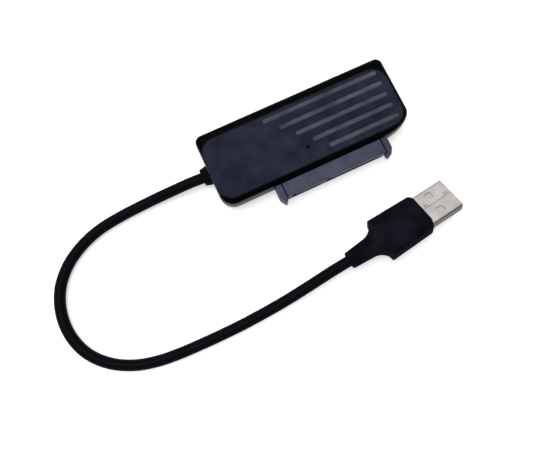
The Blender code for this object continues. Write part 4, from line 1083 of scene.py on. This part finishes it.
def add_posts(cover, housing):
    """Posts with pegs that clamp the board."""
    ceiling = COVER_HIGH.z - housing.wall
    for x in (BOARD_LOW.x + housing.post_from_end, BOARD_HIGH.x - housing.post_from_end):
        for y in (BOARD_LOW.y + housing.post_from_side, BOARD_HIGH.y - housing.post_from_side):
            post = cylinder(
                "post", housing.post_radius, x, y, BOARD_HIGH.z + CLEARANCE,
                ceiling + housing.wall / 2)
            peg = cylinder(
                "peg", housing.peg_radius, x, y, COVER_LOW.z, BOARD_HIGH.z + 2 * CLEARANCE)
            combine(cover, post, "UNION")
            combine(cover, peg, "UNION")


def groove_bars(housing, finish):
    """Round-ended cutters for the grooves."""
    radius = housing.groove_width / 2
    end = cylinder(
        "groove end", radius, 0.0, 0.0, COVER_HIGH.z - housing.groove_depth,
        COVER_HIGH.z + housing.wall, GROOVE_END_SIDES)
    # Turned by half a side, so that no corner lies between its left and right halves
    end.transform(Matrix.Rotation(radians(RIGHT_ANGLE * 2 / GROOVE_END_SIDES), 4, "Z"))
    guide = place_object("groove end", end)
    bars = run_tree(guide, groove_tree(), {
        "Count": housing.groove_count,
        "Pitch": housing.groove_pitch,
        "Longest run": housing.groove_length - housing.groove_width,
        "Right": COVER_HIGH.x - housing.groove_margin - radius,
        "First": COVER_HIGH.y - housing.groove_from_back,
        "Material": finish,
    })
    bpy.data.objects.remove(guide, do_unlink=True)
    return bars


def connector_opening(housing):
    """The space in both front walls that the receptacle passes through."""
    front = COVER_LOW.y
    return block(
        "connector opening",
        (OPENING_LEFT, front - housing.wall, RECEPTACLE_LOW.z - CLEARANCE),
        (RECEPTACLE_HIGH.x + CLEARANCE, front + 2 * housing.wall, RECEPTACLE_HIGH.z + CLEARANCE))


def gland_opening(housing, cord):
    """The space in both end walls that the gland's neck passes through."""
    y, z = gland_centre()
    outline = centred_outline(
        cord.gland_neck_width + 2 * CLEARANCE, cord.gland_neck_depth + 2 * CLEARANCE,
        cord.gland_corner, CORNER_STEPS)
    return loft("gland opening", [
        [(x, y + u, z + v) for u, v in outline]
        for x in (COVER_LOW.x - housing.wall, COVER_LOW.x + 2 * housing.wall)])


def is_satin_side(place, housing):
    """Places under the polished band, which are satin as the bottom cover is.

    Over the drive receptacle the black runs down to the opening, as painted shadow of the opening.
    """
    in_painted_opening_shadow = (
        place.y < COVER_LOW.y + housing.shoulder_radius
        and OPENING_LEFT < place.x < COVER_HIGH.x - housing.sweep_length)
    return place.z < COVER_HIGH.z - housing.satin_drop and not in_painted_opening_shadow


def is_groove_floor(face, housing):
    """Faces that look up from the bottom of a groove."""
    floor = COVER_HIGH.z - housing.groove_depth
    return face.normal.z > UP_FACING and abs(face.center.z - floor) < 2 * MERGE


class ADAPTER_OT_top_cover(Operator):
    """Moulds the top cover: rounded shoulder, grooves, light hole and clamping posts"""
    bl_idname = "adapter.top_cover"
    bl_label = "Top cover"

    def execute(self, context):
        housing = context.scene.adapter_housing
        rings = [housing_ring(housing, *point) for point in cover_section(housing)]
        cover = place_object("top_cover_moulding", loft("top_cover_moulding", rings))
        add_posts(cover, housing)
        top, side, groove = cover_plastic(), satin_tray(), textured_groove()
        combine(cover, groove_bars(housing, groove), "DIFFERENCE")
        lamp_low, lamp_high = (Vector(corner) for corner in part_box("indicator_led"))
        over_lamp = (lamp_low + lamp_high) / 2
        hole = cylinder(
            "light hole", housing.light_hole / 2, over_lamp.x, over_lamp.y,
            COVER_HIGH.z - 2 * housing.wall, COVER_HIGH.z + housing.wall)
        combine(cover, hole, "DIFFERENCE")
        combine(cover, connector_opening(housing), "DIFFERENCE")
        combine(cover, gland_opening(housing, context.scene.adapter_cord), "DIFFERENCE")
        cover.data.materials.clear()
        for finish in (top, side, groove):
            cover.data.materials.append(finish)
        # Faces high on the walls, and over the receptacle's opening, keep the cover's finish with
        # its painted dark border and painted shadow; lower walls are satin.
        for face in cover.data.polygons:
            satin = is_satin_side(face.center, housing)
            face.material_index = 2 if is_groove_floor(face, housing) else int(satin)
        soften_edges(cover, housing.edge)
        carry(cover, "shell_plastic", "top_cover")
        return {"FINISHED"}


class ADAPTER_OT_bottom_cover(Operator):
    """Finishes the bottom cover, whose rim catches the light along the seam"""
    bl_idname = "adapter.bottom_cover"
    bl_label = "Bottom cover"

    def execute(self, context):
        housing = context.scene.adapter_housing
        tray = solid_copy("bottom_cover", "bottom_cover_moulding")
        soften_edges(tray, housing.edge)
        dress(tray, bpy.data.materials["satin ABS"])
        carry(tray, "shell_plastic", "bottom_cover")
        return {"FINISHED"}


class ADAPTER_OT_receptacle(Operator):
    """Finishes the drive receptacle, with a moulded rounding on its arms and slots"""
    bl_idname = "adapter.receptacle"
    bl_label = "Drive receptacle"

    def execute(self, context):
        receptacle = solid_copy("sata_receptacle", "receptacle_moulding")
        soften_edges(receptacle, context.scene.adapter_housing.connector_edge, CONNECTOR_ANGLE)
        dress(receptacle, receptacle_plastic())
        carry(receptacle, "connector_plastic", "sata_receptacle")
        return {"FINISHED"}


# Board and contacts

class ADAPTER_OT_inner_parts(Operator):
    """Gives the board, its parts, the wires and the contacts their finishes"""
    bl_idname = "adapter.inner_parts"
    bl_label = "Board, wires and contacts"

    def execute(self, context):
        steel = bpy.data.materials["nickel-plated steel"]
        gold, epoxy = gold_plating(), moulding_epoxy()
        finishes = {
            "signal_contact": gold,
            "power_contact": gold,
            "plug_contact": gold,
            "plug_insulator": tongue_plastic(),
            "circuit_board": board_laminate(),
            "bridge_chip": epoxy,
            "voltage_regulator": epoxy,
            "resistor": epoxy,
            "capacitor": fired_ceramic(),
            "crystal": steel,
            "indicator_led": clear_epoxy(),
            "wire_red": wire_insulation("red PVC", "B3251F"),
            "wire_white": wire_insulation("white PVC", "E6E4DE"),
            "wire_green": wire_insulation("green PVC", "2F7D3B"),
            "wire_black": wire_insulation("black PVC", "161616"),
        }
        for name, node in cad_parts.items():
            for start, finish in finishes.items():
                if name.startswith(start):
                    node.material_slots[0].material = finish
        return {"FINISHED"}


# Stage

def seen_directly(tree):
    """1 where the eye, a mirror or a glass looks, and 0 where the light is only gathered."""
    ray = add(tree, "ShaderNodeLightPath").outputs
    seen = ray["Is Camera Ray"]
    for kind in ("Is Glossy Ray", "Is Transmission Ray"):
        seen = add(
            tree, "ShaderNodeMath", {0: seen, 1: ray[kind]}, operation="MAXIMUM").outputs[0]
    return seen


def floor_finish():
    """Matt white board: what is seen of it glows a little, so it stays white under soft light.

    Far from the adapter, where the lamps don't reach, it glows more.
    """
    finish, tree, shader = new_material("matt white board", 0.9, specular=0.1)
    stage, white = bpy.context.scene.adapter_stage, palette().floor
    fibres = surface_grain(tree, 2 * MM, detail=3.0)
    vary_colour(tree, shader, fibres, toned(white, 0.99), white)
    place = add(tree, "ShaderNodeTexCoord").outputs["Object"]
    distance = add(tree, "ShaderNodeVectorMath", {0: place}, operation="LENGTH")
    needed = add(tree, "ShaderNodeMapRange", {
        "Value": distance.outputs["Value"], "From Min": stage.floor_lit,
        "From Max": stage.floor_unlit, "To Min": stage.floor_glow, "To Max": 1.0})
    glow = add(
        tree, "ShaderNodeMath", {0: needed.outputs["Result"], 1: seen_directly(tree)},
        operation="MULTIPLY")
    tree.links.new(glow.outputs[0], shader.inputs["Emission Strength"])
    shader.inputs["Emission Color"].default_value = white
    return finish


def light_room(stage):
    """A plain room that looks white, and whose light on things falls off towards the side."""
    world = bpy.data.worlds.new("room")
    bpy.context.scene.world = world
    world.use_nodes = True
    tree = world.node_tree
    direction = add(tree, "ShaderNodeTexCoord").outputs["Generated"]
    height = add(tree, "ShaderNodeSeparateXYZ", {"Vector": direction}).outputs["Z"]
    level = add(tree, "ShaderNodeMapRange", {
        "Value": height, "From Min": SKY_LOW, "From Max": SKY_HIGH, "To Min": stage.horizon,
        "To Max": stage.sky}).outputs["Result"]
    shown = add(
        tree, "ShaderNodeMix", {MIX_FACTOR: seen_directly(tree), LEVEL_A: level, LEVEL_B: 1.0},
        data_type="FLOAT")
    tree.links.new(shown.outputs[LEVEL_RESULT], tree.nodes["Background"].inputs["Strength"])
    tree.nodes["Background"].inputs["Color"].default_value = linear("FFFFFF")


def add_softbox(name, place, aim, side, power):
    """A square lamp at a place, facing a point."""
    lamp = bpy.data.lights.new(name, "AREA")
    lamp.shape = "SQUARE"
    lamp.size = side
    lamp.energy = power
    softbox = place_object(name, lamp)
    facing = (Vector(aim) - Vector(place)).to_track_quat("-Z", "Y")
    softbox.matrix_world = Matrix.Translation(place) @ facing.to_matrix().to_4x4()


class ADAPTER_OT_stage(Operator):
    """Lays the pale floor and hangs the lamps"""
    bl_idname = "adapter.stage"
    bl_label = "Floor and lamps"

    def execute(self, context):
        stage = context.scene.adapter_stage
        half = stage.floor_size / 2
        floor = place_object("floor", block(
            "floor", (-half, -half, -FLOOR_THICKNESS), (half, half, -FLOOR_DROP)))
        dress(floor, floor_finish())
        light_room(stage)
        centre = (CAD_BOX[0][0] + CAD_BOX[1][0]) / 2, (CAD_BOX[0][1] + CAD_BOX[1][1]) / 2, 0.0
        key_away = (*KEY_AWAY, stage.key_height)
        for name, away, side, power in (
                ("softbox overhead", key_away, stage.key_size, stage.key_power),
                ("back lamp", BACK_AWAY, stage.back_size, stage.back_power),
                ("fill lamp", FILL_AWAY, stage.fill_size, stage.fill_power)):
            add_softbox(name, [c + a for c, a in zip(centre, away)], centre, side, power)
        context.scene.view_settings.view_transform = "Standard"
        return {"FINISHED"}


# Add-on

OPERATORS = (
    ADAPTER_OT_camera,
    ADAPTER_OT_plug_grip,
    ADAPTER_OT_plug_shell,
    ADAPTER_OT_cord,
    ADAPTER_OT_gland,
    ADAPTER_OT_top_cover,
    ADAPTER_OT_bottom_cover,
    ADAPTER_OT_receptacle,
    ADAPTER_OT_inner_parts,
    ADAPTER_OT_stage,
)


class ADAPTER_PT_pieces(Panel):
    """Lists the adapter's pieces in the order in which they are made"""
    bl_idname = "ADAPTER_PT_pieces"
    bl_label = "USB to SATA adapter"
    bl_space_type = "VIEW_3D"
    bl_region_type = "UI"
    bl_category = "Adapter"

    def draw(self, context):
        for operator in OPERATORS:
            self.layout.operator(operator.bl_idname)
        for name in PROPERTY_GROUPS:
            sizes = getattr(context.scene, name)
            box = self.layout.box()
            for key in sizes.bl_rna.properties.keys():
                if key not in {"rna_type", "name"}:
                    box.prop(sizes, key)


def register():
    for group in PROPERTY_GROUPS.values():
        bpy.utils.register_class(group)
    for name, group in PROPERTY_GROUPS.items():
        setattr(bpy.types.Scene, name, PointerProperty(type=group))
    for shown in (*OPERATORS, ADAPTER_PT_pieces):
        bpy.utils.register_class(shown)


def unregister():
    for shown in (ADAPTER_PT_pieces, *reversed(OPERATORS)):
        bpy.utils.unregister_class(shown)
    for name, group in PROPERTY_GROUPS.items():
        delattr(bpy.types.Scene, name)
        bpy.utils.unregister_class(group)


def main():
    register()
    for operator in OPERATORS:
        group, action = operator.bl_idname.split(".")
        getattr(getattr(bpy.ops, group), action)()


if __name__ == "__main__":
    main()
